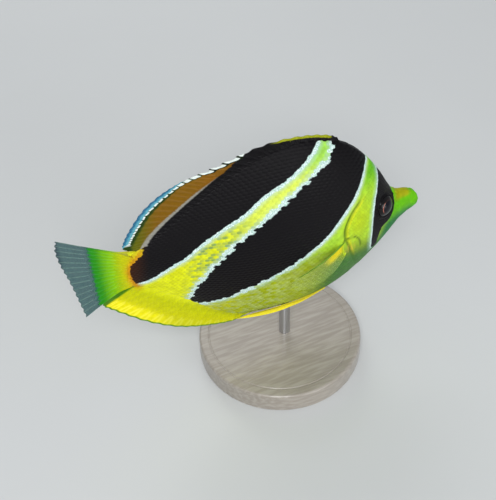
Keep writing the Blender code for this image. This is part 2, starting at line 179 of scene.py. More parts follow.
@dataclass(frozen=True)
class Path:
    """Smooth curve through evenly spaced stations in the plane or in space."""

    stations: tuple[tuple[float, ...], ...]
    readings: int = 61
    at_once: int = 20000

    def __call__(self, s: Array) -> Array:
        """Points at shares s of the curve, by a Catmull-Rom cubic in each span.

        Args:
            s: Shares of the curve, 0 to 1.

        Returns:
            Points, one more axis than s.
        """
        k = np.asarray(self.stations)
        k = np.vstack([2 * k[0] - k[1], k, 2 * k[-1] - k[-2]])
        last = len(self.stations) - 1
        i = np.clip((s * last).astype(int), 0, last - 1)
        t = (s * last - i)[..., None]
        a, b, c, d = k[i], k[i + 1], k[i + 2], k[i + 3]
        return 0.5 * (2 * b + (c - a) * t + (2 * a - 5 * b + 4 * c - d) * t**2
                      + (3 * b - a - 3 * c + d) * t**3)

    def away(self, x: Array, y: Array) -> Array:
        """Distance from the curve in side view, above 0 on the right of its run.

        The curve is read at as many points as readings says. The nearest of its short spans
        gives the distance, and the cross product of span and offset gives the sign.

        Args:
            x: Distances back.
            y: Heights.

        Returns:
            Signed distances, of the shape of x.
        """
        line = self(np.linspace(0.0, 1.0, self.readings))[:, :2]
        start, run = line[:-1], np.diff(line, axis=0)
        out = np.empty(x.size)
        flat = np.stack([x.ravel(), y.ravel()], 1)
        for block in np.array_split(np.arange(x.size), max(1, x.size // self.at_once)):
            off = flat[block, None, :] - start[None]
            t = np.clip((off * run).sum(-1) / (run**2).sum(-1), 0.0, 1.0)
            miss = off - t[..., None] * run
            square = (miss**2).sum(-1)
            best = square.argmin(1)
            row = np.arange(len(block))
            cross = run[best, 1] * off[row, best, 0] - run[best, 0] * off[row, best, 1]
            out[block] = np.sqrt(square[row, best]) * np.sign(cross)
        return out.reshape(x.shape)

    def near(self, x: Array, y: Array, reach: float = 0.03) -> Array:
        """Distance from the curve as in away, and the reach itself outside the reach.

        Args:
            x: Distances back.
            y: Heights.
            reach: Farthest distance that matters.

        Returns:
            Signed distances, of the shape of x.
        """
        x, y = np.broadcast_arrays(x, y)
        line = np.asarray(self.stations)[:, :2]
        low, high = line.min(0) - reach, line.max(0) + reach
        inside = (x > low[0]) & (x < high[0]) & (y > low[1]) & (y < high[1])
        out = np.full(x.shape, reach)
        out[inside] = self.away(x[inside], y[inside])
        return out


DARK = srgb(8, 5, 9)
PALE = srgb(226, 236, 230)
GREY = srgb(150, 148, 138)

# The grey line of the back fin, the fold in front of the side fin, and the middle of the
# patch of painted glint strokes, a painted highlight, between that fold and the fin's root.
GREY_LINE = Path((
    (0.640, 0.352), (0.676, 0.322), (0.707, 0.294), (0.751, 0.260), (0.794, 0.225),
    (0.838, 0.189), (0.882, 0.150), (0.918, 0.112), (0.941, 0.079), (0.952, 0.050)))
FIN_FOLD = Path((
    (0.330, -0.056), (0.322, -0.040), (0.310, -0.024), (0.288, -0.014), (0.263, -0.028),
    (0.246, -0.053), (0.238, -0.085)))
GLINT_PATCH = (0.284, -0.066)


def fold_strength(x: Array, y: Array) -> Array:
    """Strength of the fold in front of the side fin: a bell that fades out at both ends."""
    held = ramp(x, 0.330, 0.318) * ramp(y, -0.085, -0.060)
    return bell(FIN_FOLD.near(x, y), 0.0035) * held


@dataclass
class FishForm:
    """The flesh of the fish: one profile of the back, the belly and the half width."""

    back: Profile = Profile((
        (0.0, 0.010), (0.008, 0.026), (0.026, 0.043), (0.055, 0.053), (0.087, 0.058),
        (0.112, 0.074), (0.135, 0.103), (0.165, 0.147), (0.21, 0.204), (0.26, 0.254),
        (0.32, 0.298), (0.40, 0.330), (0.50, 0.338), (0.60, 0.314), (0.70, 0.262),
        (0.80, 0.192), (0.90, 0.112), (0.95, 0.078), (1.0, 0.060)))
    belly: Profile = Profile((
        (0.0, -0.011), (0.01, -0.023), (0.035, -0.041), (0.07, -0.068), (0.11, -0.114),
        (0.15, -0.166), (0.20, -0.222), (0.25, -0.264), (0.31, -0.298), (0.38, -0.318),
        (0.46, -0.327), (0.54, -0.330), (0.62, -0.316), (0.70, -0.270), (0.80, -0.188),
        (0.90, -0.110), (0.95, -0.079), (1.0, -0.062)))
    half_width: Profile = Profile((
        (0.0, 0.010), (0.008, 0.016), (0.018, 0.019), (0.028, 0.019), (0.05, 0.023),
        (0.08, 0.032), (0.12, 0.049), (0.16, 0.062), (0.22, 0.074), (0.30, 0.083),
        (0.40, 0.086), (0.50, 0.080), (0.62, 0.064), (0.74, 0.046), (0.86, 0.030),
        (0.94, 0.020), (1.0, 0.015)))
    ridge: float = 0.006
    round_power: tuple[float, float] = (0.78, 0.62)
    keen_power: tuple[float, float] = (1.00, 0.95)
    keen_from: tuple[float, float] = (0.38, 0.70)
    gill_edge: Path = Path((
        (0.222, 0.300), (0.236, 0.200), (0.262, 0.125), (0.296, 0.078), (0.312, 0.030),
        (0.308, -0.010), (0.290, -0.050), (0.266, -0.100), (0.240, -0.150),
        (0.214, -0.200), (0.190, -0.280)))
    cheek_edge: Path = Path((
        (0.206, 0.105), (0.222, 0.060), (0.228, 0.010), (0.222, -0.045), (0.200, -0.092),
        (0.168, -0.112), (0.135, -0.100)))
    gill_proud: float = 0.0035
    gill_furrow: float = 0.0032
    fin_lobe: tuple[float, float] = (0.309, -0.056)
    lobe_reach: tuple[float, float] = (0.030, 0.036)
    lobe_proud: float = 0.0050
    fold_deep: float = 0.0020
    cheek_deep: float = 0.0022
    cheek_proud: float = 0.0010
    eye_place: tuple[float, float] = (0.158, 0.050)
    eye_radius: float = 0.034
    orbit_rim: float = 0.0042
    socket_deep: float = 0.016
    mouth_height: float = -0.002
    mouth_length: float = 0.030
    mouth_deep: float = 0.0048
    lips_proud: float = 0.0013
    lips_crease: float = 0.0010
    nostrils: tuple[tuple[float, float, float], ...] = (
        (0.100, 0.060, 0.0036), (0.112, 0.066, 0.0030))
    nostril_proud: float = 0.0016
    nostril_deep: float = 0.0045

    def section(self, x: Array, t: Array) -> tuple[Array, Array]:
        """Height and half width of the flesh; t is 1 on the back and -1 on the belly.

        The half width is the ridge's plus the rest times (1 - t squared) to a power. The
        power is low in front, where the section is round, and near 1 behind, where the
        flanks run straight into the fins.

        Args:
            x: Distances back.
            t: Places up the section.

        Returns:
            Heights and half widths.
        """
        top, bottom, wide = self.back(x), self.belly(x), self.half_width(x)
        blend = np.minimum(x / 0.15, 1.0)
        rear = ramp(x, *self.keen_from)
        above = self.round_power[0] * (1 - rear) + self.keen_power[0] * rear
        below = self.round_power[1] * (1 - rear) + self.keen_power[1] * rear
        power = np.where(t > 0, above, below) * blend + 0.5 * (1 - blend)
        ridge = np.minimum(self.ridge, 0.5 * wide)
        out = ridge + (wide - ridge) * np.maximum(0.0, 1 - t * t) ** power
        return (top + bottom) / 2 + t * (top - bottom) / 2, out

    def on_flank(self, x: Array, y: Array) -> Array:
        """Half width of the flesh at a place in side view.

        Args:
            x: Distances back.
            y: Heights.

        Returns:
            Half widths, of the shape of x.
        """
        top, bottom = self.back(x), self.belly(x)
        t = np.clip((y - (top + bottom) / 2) / ((top - bottom) / 2), -1.0, 1.0)
        return self.section(x, t)[1]

    def place(self, x: Array, y: Array, z: Array, side: Side) -> Array:
        """Metres in the shared frame for points in body lengths.

        The fish heads along +X with its right flank towards -Y, turned nose down about Y
        and raised to its height above the table.

        Args:
            x: Distances back.
            y: Heights.
            z: Distances out of the flank.
            side: The flank.

        Returns:
            Points, with a last axis of 3.
        """
        ahead, up = (0.5 - x) * BODY, y * BODY
        turn, tilt = math.cos(NOSE_DOWN), math.sin(NOSE_DOWN)
        return np.stack([ahead * turn + up * tilt, -side.value * z * BODY,
                         up * turn - ahead * tilt + AXIS_HEIGHT], -1)

    def normal(self, x: Array, angle: Array) -> Array:
        """Outward direction (x, y, z) of the flesh at an angle from the back.

        It is the cross product of the steps along the body and round the section.

        Args:
            x: Distances back.
            angle: Angles from the back, 0, to the belly, pi.

        Returns:
            Unit vectors in body axes, with a last axis of 3.
        """
        step = 0.003
        low, high = np.maximum(x - step, 0.0), np.minimum(x + step, 1.0)
        ya, za = self.section(low, np.cos(angle))
        yb, zb = self.section(high, np.cos(angle))
        run = np.stack([high - low, yb - ya, zb - za], -1)
        first, second = np.clip(angle - step, 0, math.pi), np.clip(angle + step, 0, math.pi)
        yc, zc = self.section(x, np.cos(first))
        yd, zd = self.section(x, np.cos(second))
        down = np.stack([np.zeros_like(x), yd - yc, zd - zc], -1)
        return unit(np.cross(down, run))

    def out_of(self, x: Array, y: Array) -> Array:
        """Direction out of the flank at a place in side view.

        It is (-dz/dx, -dz/dy, 1) of the half width z, made one long.

        Args:
            x: Distances back.
            y: Heights.

        Returns:
            Unit vectors in body axes, with a last axis of 3.
        """
        d, flank = 0.004, self.on_flank
        return unit(np.stack([-(flank(x + d, y) - flank(x - d, y)) / (2 * d),
                              -(flank(x, y + d) - flank(x, y - d)) / (2 * d),
                              np.ones_like(x)], -1))

    def eye_frame(self) -> tuple[Array, Array]:
        """Centre and outward axis of the right eye, square to the flesh there.

        Returns:
            The centre and the unit axis, in body axes.
        """
        x, y = (np.array(v) for v in self.eye_place)
        return np.array([x, y, self.on_flank(x, y)]), self.out_of(x, y)

    def relief(self, x: Array, angle: Array, y: Array, z: Array) -> Array:
        """How far the finished skin stands out of the plain flesh.

        The sum of: the gill cover's swelling, which ends at its rear edge, with a furrow
        behind it; the fleshy base of the side fin and the fold in front of it; the cheek
        bone's furrow; the ring round the eye and the socket inside it; the nostrils, each a
        pit in a low ring; the lips with the line of the mouth and a crease behind them.

        Args:
            x: Distances back.
            angle: Angles from the back.
            y: Heights of the plain flesh.
            z: Half widths of the plain flesh.

        Returns:
            Heights of the relief, in body lengths.
        """
        t = np.cos(angle)
        gill = self.gill_edge.away(x, y)
        middle = np.maximum(0.0, 1 - np.abs((t + 0.10) / 0.75) ** 3)
        swell = np.clip((x - 0.20) / 0.08, 0.0, 1.0) * middle
        out = self.gill_proud * swell * ramp(gill, -0.0005, 0.0035)
        out -= self.gill_furrow * bell(gill + 0.0035, 0.0038) * middle
        lobe = np.hypot((x - self.fin_lobe[0]) / self.lobe_reach[0],
                        (y - self.fin_lobe[1]) / self.lobe_reach[1])
        out += self.lobe_proud * ramp(lobe, 1.15, 0.55)
        out -= self.fold_deep * fold_strength(x, y)
        cheek = self.cheek_edge.near(x, y)
        out -= self.cheek_deep * bell(cheek, 0.003) * ramp(x, 0.13, 0.16)
        out += self.cheek_proud * bell(cheek - 0.009, 0.006) * ramp(x, 0.13, 0.16)
        centre, axis = self.eye_frame()
        off = np.stack([x, y, z], -1) - centre
        depth = off @ axis
        reach = np.linalg.norm(off - depth[..., None] * axis, axis=-1)
        ring = (reach - self.eye_radius) / (2 * self.orbit_rim)
        out += self.orbit_rim * 0.85 * np.sin(math.pi * np.clip(ring, 0, 1)) ** 1.2
        socket = ramp(reach, self.eye_radius - 0.0002, self.eye_radius - 0.0035)
        out -= self.socket_deep * socket
        for nostril in self.nostrils:
            ring = span(x, y, nostril) / nostril[2]
            out += self.nostril_proud * bell(ring - 1.25, 0.45)
            out -= self.nostril_deep * ramp(ring, 0.95, 0.45)
        off = y - self.mouth_height + 0.004 * x / self.mouth_length
        reach = ramp(x, self.mouth_length + 0.002, self.mouth_length - 0.010)
        out -= self.mouth_deep * bell(off, 0.0017) * reach
        out += self.lips_proud * bell(np.abs(off) - 0.006, 0.004) * ramp(x, 0.034, 0.016)
        out -= self.lips_crease * bell(x - 0.036, 0.004)
        return out

    def surface(self, x: Array, angle: Array, lift: Array | float, side: Side) -> Array:
        """Points on the finished skin.

        Args:
            x: Distances back.
            angle: Angles from the back.
            lift: Further height above the skin, in body lengths.
            side: The flank.

        Returns:
            Points in metres in the shared frame, with a last axis of 3.
        """
        y, z = self.section(x, np.cos(angle))
        out = self.normal(x, angle) * (self.relief(x, angle, y, z) + lift)[..., None]
        return self.place(x + out[..., 0], y + out[..., 1], z + out[..., 2], side)


@dataclass
class Markings:
    """Bands and ground colours of the flank, as smooth fields over its side view."""

    eye_rear: Path = Path((
        (0.214, 0.260), (0.196, 0.205), (0.192, 0.165), (0.199, 0.130), (0.207, 0.095),
        (0.210, 0.053), (0.207, 0.010), (0.201, -0.035), (0.192, -0.085), (0.176, -0.130)))
    eye_front: Path = Path((
        (0.150, 0.150), (0.134, 0.112), (0.120, 0.080), (0.113, 0.053), (0.115, 0.025),
        (0.124, 0.000), (0.142, -0.016), (0.162, -0.030), (0.166, -0.075), (0.160, -0.140)))
    fore_low: Path = Path((
        (0.262, 0.300), (0.241, 0.245), (0.258, 0.212), (0.279, 0.168), (0.308, 0.120),
        (0.339, 0.078), (0.373, 0.028), (0.408, -0.010), (0.457, -0.056), (0.513, -0.096),
        (0.560, -0.126), (0.622, -0.161), (0.675, -0.188), (0.725, -0.210), (0.790, -0.205)))
    fore_high: Path = Path((
        (0.365, 0.345), (0.378, 0.291), (0.427, 0.250), (0.478, 0.209), (0.550, 0.152),
        (0.634, 0.076), (0.684, 0.029), (0.717, -0.008), (0.752, -0.060), (0.780, -0.110),
        (0.791, -0.160), (0.793, -0.215)))
    hind_low: Path = Path((
        (0.412, 0.360), (0.427, 0.330), (0.460, 0.296), (0.521, 0.248), (0.593, 0.205),
        (0.654, 0.152), (0.714, 0.114), (0.786, 0.063), (0.831, 0.023), (0.880, -0.007),
        (0.925, -0.040), (0.960, -0.054), (1.000, -0.060)))
    gill_edge: Path = Path((
        (0.236, 0.200), (0.262, 0.125), (0.296, 0.078), (0.312, 0.030), (0.308, -0.010),
        (0.290, -0.050), (0.266, -0.100), (0.240, -0.150)))
    hind_end: Path = Path((
        (0.940, 0.110), (0.953, 0.064), (0.976, 0.038), (0.990, 0.022), (0.994, 0.000),
        (0.986, -0.030), (0.970, -0.064), (0.960, -0.090)))
    stripe_top: Colour = srgb(166, 226, 84)
    stripe: Colour = srgb(226, 244, 92)
    stripe_rear: Colour = srgb(230, 236, 20)
    front_top: Colour = srgb(78, 184, 14)
    front_stripe: Colour = srgb(176, 226, 60)
    gill: Colour = srgb(196, 222, 30)
    lower: Colour = srgb(166, 182, 14)
    lower_rear: Colour = srgb(206, 206, 6)
    # Painted shade: darker green on the breast, where the belly curves under.
    breast_shade: Colour = srgb(72, 124, 52)
    snout: Colour = srgb(106, 194, 0)
    chin: Colour = srgb(26, 116, 60)
    snout_top: Colour = srgb(196, 152, 14)
    tail_root: Colour = srgb(206, 140, 10)
    # Painted shade: a dark olive line in the gill cover's furrow and in the fold in front of the
    # side fin.
    furrow_shade: Colour = srgb(84, 112, 24)
    # Painted highlight: a bright rim just in front of the gill cover's edge.
    gill_highlight: Colour = srgb(232, 226, 30)
    # Painted highlight: bright glint strokes on the fleshy root of the side fin.
    painted_glint: Colour = srgb(226, 204, 70)
    eye_foot: float = -0.118
    line_on_flank: float = 0.0125
    line_on_head: float = 0.0065

    def black(self, x: Array, y: Array) -> Array:
        """Depth inside the nearest dark band, above 0 inside it.

        A band is where the depths from both of its edges are above 0, so its own depth is
        the lesser of the two. The field is the greatest over the three bands.

        Args:
            x: Distances back.
            y: Heights.

        Returns:
            Signed depths, in body lengths.
        """
        eye = np.minimum(self.eye_rear.away(x, y), -self.eye_front.away(x, y))
        eye = np.minimum(eye, y - self.eye_foot)
        fore = np.minimum(-self.fore_low.away(x, y), self.fore_high.away(x, y))
        hind = -self.hind_low.away(x, y)
        hind = np.minimum(hind, self.hind_end.away(x, y))
        return np.maximum(np.maximum(eye, fore), hind)

    def margin(self, x: Array, y: Array) -> Array:
        """Width of the pale line beside the bands: wide at the stripe, none on the snout.

        Args:
            x: Distances back.
            y: Heights.

        Returns:
            Widths, in body lengths.
        """
        narrowed = (self.line_on_flank - self.line_on_head) * ramp(x, 0.30, 0.20)
        wide = self.line_on_flank - narrowed
        rear = x + 0.6 * np.maximum(y, 0.0)
        return wide * ramp(x, 0.165, 0.195) * ramp(rear, 0.975, 0.945)

    def ground(self, x: Array, y: Array) -> Array:
        """Colour between the bands: the named colours laid over each other by region.

        Args:
            x: Distances back.
            y: Heights.

        Returns:
            Linear colours, with a last axis of 3.
        """
        low = ramp(self.fore_low.away(x, y), 0.0, 0.03)
        gill = self.gill_edge.near(x, y)
        nose = ramp(x, 0.160, 0.120)
        top = nose * ramp(y, 0.030, 0.046) * ramp(x, 0.030, 0.055) * ramp(x, 0.115, 0.09)
        seen = ramp(y, 0.14, 0.10) * ramp(y, -0.12, -0.06)
        # Painted highlight: glint strokes in a patch at the side fin's root.
        strokes = ramp(np.sin((0.67 * x + 0.74 * y) * 760.0), 0.0, 0.7)
        painted_glint = ramp(span(x, y, GLINT_PATCH), 0.026, 0.014) * strokes
        glow = ramp(np.abs(self.hind_end.near(x, y)), 0.030, 0.0) * ramp(x, 0.93, 0.97)
        return layered(
            mix(ramp(y, 0.31, 0.22), self.stripe_top, self.stripe),
            (self.stripe_rear, ramp(x - 0.35 * y, 0.50, 0.76)),
            (self.front_stripe, low),
            (self.front_top, low * ramp(y, 0.12, 0.20) * 0.8),
            (self.gill, low * bell(np.hypot(x - 0.27, 0.6 * (y - 0.04)), 0.05)),
            (self.lower, low * ramp(y, 0.0, -0.12)),
            (self.lower_rear, low * ramp(x, 0.55, 0.80)),
            # Painted shade on the breast.
            (self.breast_shade, low * ramp(y, -0.03, -0.13) * ramp(x, 0.44, 0.30)),
            (self.snout, nose),
            (self.chin, ramp(x, 0.190, 0.130) * ramp(y, 0.014, -0.040) * 0.95),
            (self.snout_top, top * 0.6),
            # Painted shade in the gill cover's furrow.
            (self.furrow_shade, bell(gill + 0.003, 0.0045) * seen * 0.9),
            # Painted highlight along the gill cover's rim.
            (self.gill_highlight, bell(gill - 0.005, 0.004) * seen * 0.6),
            # Painted highlight strokes at the side fin's root.
            (self.painted_glint, painted_glint * 0.7),
            # Painted shade in the fold in front of the side fin.
            (self.furrow_shade, fold_strength(x, y) * 0.9),
            (self.tail_root, glow))

    def fields(self, x: Array, y: Array) -> dict[str, Array]:
        """All colour fields of the skin's finish at distances x and heights y."""
        return {"black": self.black(x, y), "margin": self.margin(x, y),
                "ground": self.ground(x, y), "warm": ramp(x, 0.93, 1.0),
                "spot": self.spots(x, y), "low": ramp(self.fore_low.away(x, y), 0.0, 0.01)}

    def calm(self, x: Array, y: Array) -> Array:
        """Evenness of all edges: even on the head, the nape and the hind band.

        Args:
            x: Distances back.
            y: Heights.

        Returns:
            Evenness, 0 to 1.
        """
        hind = ramp(np.abs(self.hind_low.away(x, y)), 0.045, 0.025) * 0.8
        hind = np.maximum(hind, ramp(np.abs(self.gill_edge.near(x, y, 0.05)), 0.040, 0.025))
        nape = ramp(self.fore_low.away(x, y), -0.04, -0.02) * ramp(y, -0.13, 0.04)
        return np.maximum(np.maximum(hind, nape), ramp(x, 0.30, 0.26))

    def spots(self, x: Array, y: Array) -> Array:
        """Strength of the dull scale centres: the lower flank and the stripe's lower half.

        Args:
            x: Distances back.
            y: Heights.

        Returns:
            Strengths, 0 to 1.
        """
        low = ramp(self.fore_low.away(x, y), 0.006, 0.02) * ramp(y, 0.02, -0.06)
        low = low * ramp(x, 0.82, 0.70) * ramp(x, 0.32, 0.46) * 0.6
        stripe = ramp(y, 0.17, 0.06) * ramp(x, 0.42, 0.50) * ramp(x, 0.84, 0.78) * 0.9
        return np.maximum(low, stripe) * ramp(x, 0.22, 0.30)


@dataclass(frozen=True)
class Gloss:
    """Shine of a finish: its roughness, its reflection and a thin clear coat over it."""

    roughness: float
    specular: float = 0.12
    coat: float = 0.02
    coat_roughness: float = 0.25

    def inputs(self) -> dict[str, float]:
        """Values for the main shader's inputs, by name."""
        return {"Roughness": self.roughness, "Specular IOR Level": self.specular,
                "Coat Weight": self.coat, "Coat Roughness": self.coat_roughness}


class Shader:
    """A material with a few short ways to add and link its nodes."""

    def __init__(self, name: str) -> None:
        """Make the material and find its main shader.

        Args:
            name: The material's name.
        """
        self.material = bpy.data.materials.new(name)
        self.material.use_nodes = True
        self.tree = self.material.node_tree
        self.main = self.tree.nodes["Principled BSDF"]

    def node(self, kind: str, inputs: dict | None = None, **settings: object) -> bpy.types.Node:
        """Add a node.

        Args:
            kind: The node's type.
            inputs: Values or sockets for its inputs, by name or place.
            settings: Values for its own settings.

        Returns:
            The new node.
        """
        made = self.tree.nodes.new(kind)
        for key, value in settings.items():
            setattr(made, key, value)
        for key, value in (inputs or {}).items():
            self.feed(made.inputs[key], value)
        return made

    def feed(self, socket: bpy.types.NodeSocket, value: object) -> None:
        """Link a socket to an input, or set the input's value.

        Args:
            socket: The input.
            value: A socket or a value.
        """
        if isinstance(value, bpy.types.NodeSocket):
            self.tree.links.new(value, socket)
        else:
            socket.default_value = value

    def field(self, name: str, colour: bool = False) -> bpy.types.NodeSocket:
        """Read a field kept on the mesh."""
        node = self.node("ShaderNodeAttribute", attribute_name=name)
        return node.outputs["Color" if colour else "Fac"]

    def sums(self, operation: str, *values: object) -> bpy.types.NodeSocket:
        """One step of arithmetic."""
        pairs = dict(enumerate(values))
        return self.node("ShaderNodeMath", pairs, operation=operation).outputs[0]

    def plus(self, *values: object) -> bpy.types.NodeSocket:
        """Sum of all the values."""
        return reduce(lambda first, second: self.sums("ADD", first, second), values)

    def times(self, *values: object) -> bpy.types.NodeSocket:
        """Product of all the values."""
        return reduce(lambda first, second: self.sums("MULTIPLY", first, second), values)

    def step(self, value: object, low: float, high: float) -> bpy.types.NodeSocket:
        """Smooth step of a value from low to high."""
        ends = {"Value": value, "From Min": low, "From Max": high}
        return self.node("ShaderNodeMapRange", ends, interpolation_type="SMOOTHSTEP").outputs[0]

    def blend(self, share: object, first: object, second: object) -> bpy.types.NodeSocket:
        """Mix two colours.

        Args:
            share: Share of the second colour.
            first: Colour or socket where the share is 0.
            second: Colour or socket where the share is 1.

        Returns:
            The mixed colour.
        """
        made = self.node("ShaderNodeMix", data_type="RGBA")
        for place, value in ((0, share), (6, first), (7, second)):
            if isinstance(value, tuple) and len(value) == 3:
                value = (*value, 1.0)
            self.feed(made.inputs[place], value)
        return made.outputs[2]

    def shade(self, colour: object, value: float, full: float = 1.0) -> bpy.types.NodeSocket:
        """Colour with its value and its saturation multiplied."""
        parts = {"Color": colour, "Value": value, "Saturation": full}
        return self.node("ShaderNodeHueSaturation", parts).outputs["Color"]

    def noise(self, scale: float, detail: float = 3.0,
              stretch: tuple[float, float, float] | None = None) -> bpy.types.NodeSocket:
        """Cloudy pattern fixed to the object.

        Args:
            scale: Cells per metre.
            detail: Count of finer clouds in it.
            stretch: Scale along each axis, where it isn't the same.

        Returns:
            The pattern, about 0 to 1.
        """
        place = self.node("ShaderNodeTexCoord").outputs["Object"]
        if stretch:
            place = self.node("ShaderNodeMapping", {"Vector": place, "Scale": stretch}).outputs[0]
        return self.node("ShaderNodeTexNoise", {"Vector": place, "Scale": scale,
                                                "Detail": detail}).outputs["Fac"]

    def cloud(self, scale: float, width: float, middle: float = 0.0) -> bpy.types.NodeSocket:
        """Cloudy number: the noise times the width, about the middle."""
        return self.sums("MULTIPLY_ADD", self.noise(scale), width, middle - 0.5 * width)

    def bump(self, height: object, distance: float) -> None:
        """Fine relief of the surface, distance in metres for a height of 1."""
        made = self.node("ShaderNodeBump", {"Height": height, "Distance": distance,
                                            "Strength": 1.0})
        self.feed(self.main.inputs["Normal"], made.outputs["Normal"])

    def finish(self, colour: object, inputs: dict[str, object]) -> bpy.types.Material:
        """Feed the main shader.

        Args:
            colour: The surface's colour, a socket or a colour.
            inputs: Values or sockets for the other inputs, by name.

        Returns:
            The finished material.
        """
        if isinstance(colour, tuple):
            colour = (*colour, 1.0)
        for key, value in ({"Base Color": colour} | inputs).items():
            self.feed(self.main.inputs[key], value)
        return self.material


@dataclass(frozen=True)
class SkinFinish:
    """Wet-looking scaled skin with dark bands, pale margins and dull scale centres."""

    dark: Colour = DARK
    dark_warm: Colour = srgb(52, 24, 6)
    pale: Colour = srgb(226, 240, 240)
    speck: Colour = srgb(168, 202, 190)
    dull: Colour = srgb(96, 146, 104)
    grey: Colour = srgb(186, 204, 116)
    hem_value: float = 0.74
    mottle_value: float = 0.80
    jitter: float = 0.0060
    gloss: Gloss = Gloss(0.46)
    grain: float = 0.00003

    def make(self, name: str) -> bpy.types.Material:
        """Build the material.

        The depth inside a band, made uneven by two clouds, gives the band where it is above
        0 and the pale line where it is within the margin's width of 0. A scale's rear hem is
        a little darker and its centre a little duller than the ground colour.

        Args:
            name: Its name.

        Returns:
            The material.
        """
        s = Shader(name)
        coarse = s.cloud(620.0, self.jitter)
        fine = s.cloud(2300.0, self.jitter)
        depth = s.plus(s.field("black"), s.times(coarse, 0.7))
        ground = s.field("ground", True)
        ground = s.blend(s.field("spot"), ground,
                         s.blend(s.field("low"), self.dull, self.grey))
        hem = s.shade(ground, self.hem_value)
        ground = s.blend(s.times(s.field("hem"), 0.8), ground, hem)
        mottle = s.step(s.noise(520.0), 0.35, 0.75)
        ground = s.blend(mottle, s.shade(ground, self.mottle_value), ground)
        edge = s.plus(depth, s.times(fine, 1.6), s.field("margin"))
        pale = s.blend(s.step(s.noise(2900.0), 0.42, 0.62), self.speck, self.pale)
        lined = s.step(s.field("margin"), 0.0, 0.004)
        halo = s.times(s.step(edge, -0.0150, 0.0), 0.45, lined)
        colour = s.blend(halo, ground, self.speck)
        line = s.times(s.step(edge, -0.0020, 0.0030), lined)
        colour = s.blend(line, colour, pale)
        dark = s.blend(s.field("warm"), self.dark, self.dark_warm)
        colour = s.blend(s.step(depth, -0.0012, 0.0010), colour, dark)
        s.bump(s.noise(5200.0, 2.0), self.grain)
        rough = s.cloud(900.0, 0.2, self.gloss.roughness)
        return s.finish(colour, self.gloss.inputs() | {"Roughness": rough})


@dataclass(frozen=True)
class Zone:
    """A coloured zone of a fin: a field on its mesh, where it starts and its colour."""

    name: str
    low: float
    high: float
    colour: Colour
    solid: float = 1.0
    rough: float = 0.0012


@dataclass(frozen=True)
class FinFinish:
    """Fin membrane over rays, with zones of colour and a clear margin."""

    zones: tuple[Zone, ...] = ()
    ray_value: float = 1.05
    mottle_value: float = 0.84
    gloss: Gloss = Gloss(0.40, coat_roughness=0.2)
    grain: float = 0.00003

    def make(self, name: str) -> bpy.types.Material:
        """Build the material.

        Each zone covers the ones before it where its field, made uneven by a fine cloud,
        has passed from low to high. Its solidity takes the place of theirs in the same way.

        Args:
            name: Its name.

        Returns:
            The material.
        """
        s = Shader(name)
        tint = s.field("tint", True)
        solid = s.field("solid")
        for zone in self.zones:
            share = s.step(s.plus(s.field(zone.name), s.cloud(1900.0, 2 * zone.rough)),
                           zone.low, zone.high)
            tint = s.blend(share, tint, zone.colour)
            kept = s.times(solid, s.sums("SUBTRACT", 1.0, share))
            solid = s.sums("MULTIPLY_ADD", share, zone.solid, kept)
        bright = s.shade(tint, self.ray_value, 0.95)
        mottle = s.step(s.noise(700.0), 0.3, 0.8)
        colour = s.blend(mottle, s.shade(tint, self.mottle_value), tint)
        colour = s.blend(s.field("ray"), colour, bright)
        s.bump(s.noise(4200.0, 2.0), self.grain)
        rough = s.cloud(1100.0, 0.2, self.gloss.roughness)
        return s.finish(colour, self.gloss.inputs() | {"Roughness": rough, "Alpha": solid})


@dataclass(frozen=True)
class EyeFinish:
    """Glossy eye: black pupil, thin ring with a painted glint on its rear side, dark brown iris."""

    pupil: Colour = srgb(6, 9, 20)
    # The ring round the pupil; its bright colour shows only on the rear side, as a painted glint.
    ring: Colour = srgb(196, 116, 98)
    iris: Colour = srgb(32, 22, 20)
    outer: Colour = srgb(9, 7, 9)
    gloss: Gloss = Gloss(0.16, specular=0.2, coat=0.15, coat_roughness=0.05)

    def make(self, name: str) -> bpy.types.Material:
        """Build the material.

        The share of the way out from the eye's axis, made uneven by a cloud, gives the
        pupil, a thin ring that is bright only where the glint field is high, and the iris. The
        ring round the pupil is real; its brightness on the rear side alone is a painted glint.

        Args:
            name: Its name.

        Returns:
            The material.
        """
        s = Shader(name)
        reach = s.plus(s.field("reach"), s.cloud(1800.0, 0.05))
        iris = s.blend(s.step(s.noise(2600.0), 0.35, 0.7), self.iris, self.outer)
        iris = s.blend(s.step(reach, 0.72, 0.92), iris, self.outer)
        # Painted glint: the ring is bright only where the glint field is high, on its rear side.
        band = s.times(s.step(reach, 0.665, 0.680), s.step(reach, 0.725, 0.700),
                       s.field("glint"))
        colour = s.blend(band, iris, self.ring)
        colour = s.blend(s.step(reach, 0.67, 0.64), colour, self.pupil)
        return s.finish(colour, self.gloss.inputs())


@dataclass(frozen=True)
class LacquerFinish:
    """Pale lacquered wood with a faint grain."""

    dark: Colour = srgb(150, 142, 132)
    light: Colour = srgb(168, 161, 151)

    def make(self, name: str) -> bpy.types.Material:
        """Build the material: two tones blended by a noise drawn out along X, the grain.

        Args:
            name: Its name.

        Returns:
            The material.
        """
        s = Shader(name)
        grain = s.noise(900.0, 6.0, (0.12, 1.0, 1.0))
        s.bump(grain, 0.00004)
        rough = s.sums("MULTIPLY_ADD", grain, 0.15, 0.3)
        return s.finish(s.blend(s.step(grain, 0.35, 0.7), self.dark, self.light),
                        {"Roughness": rough, "Coat Weight": 0.4, "Coat Roughness": 0.15})


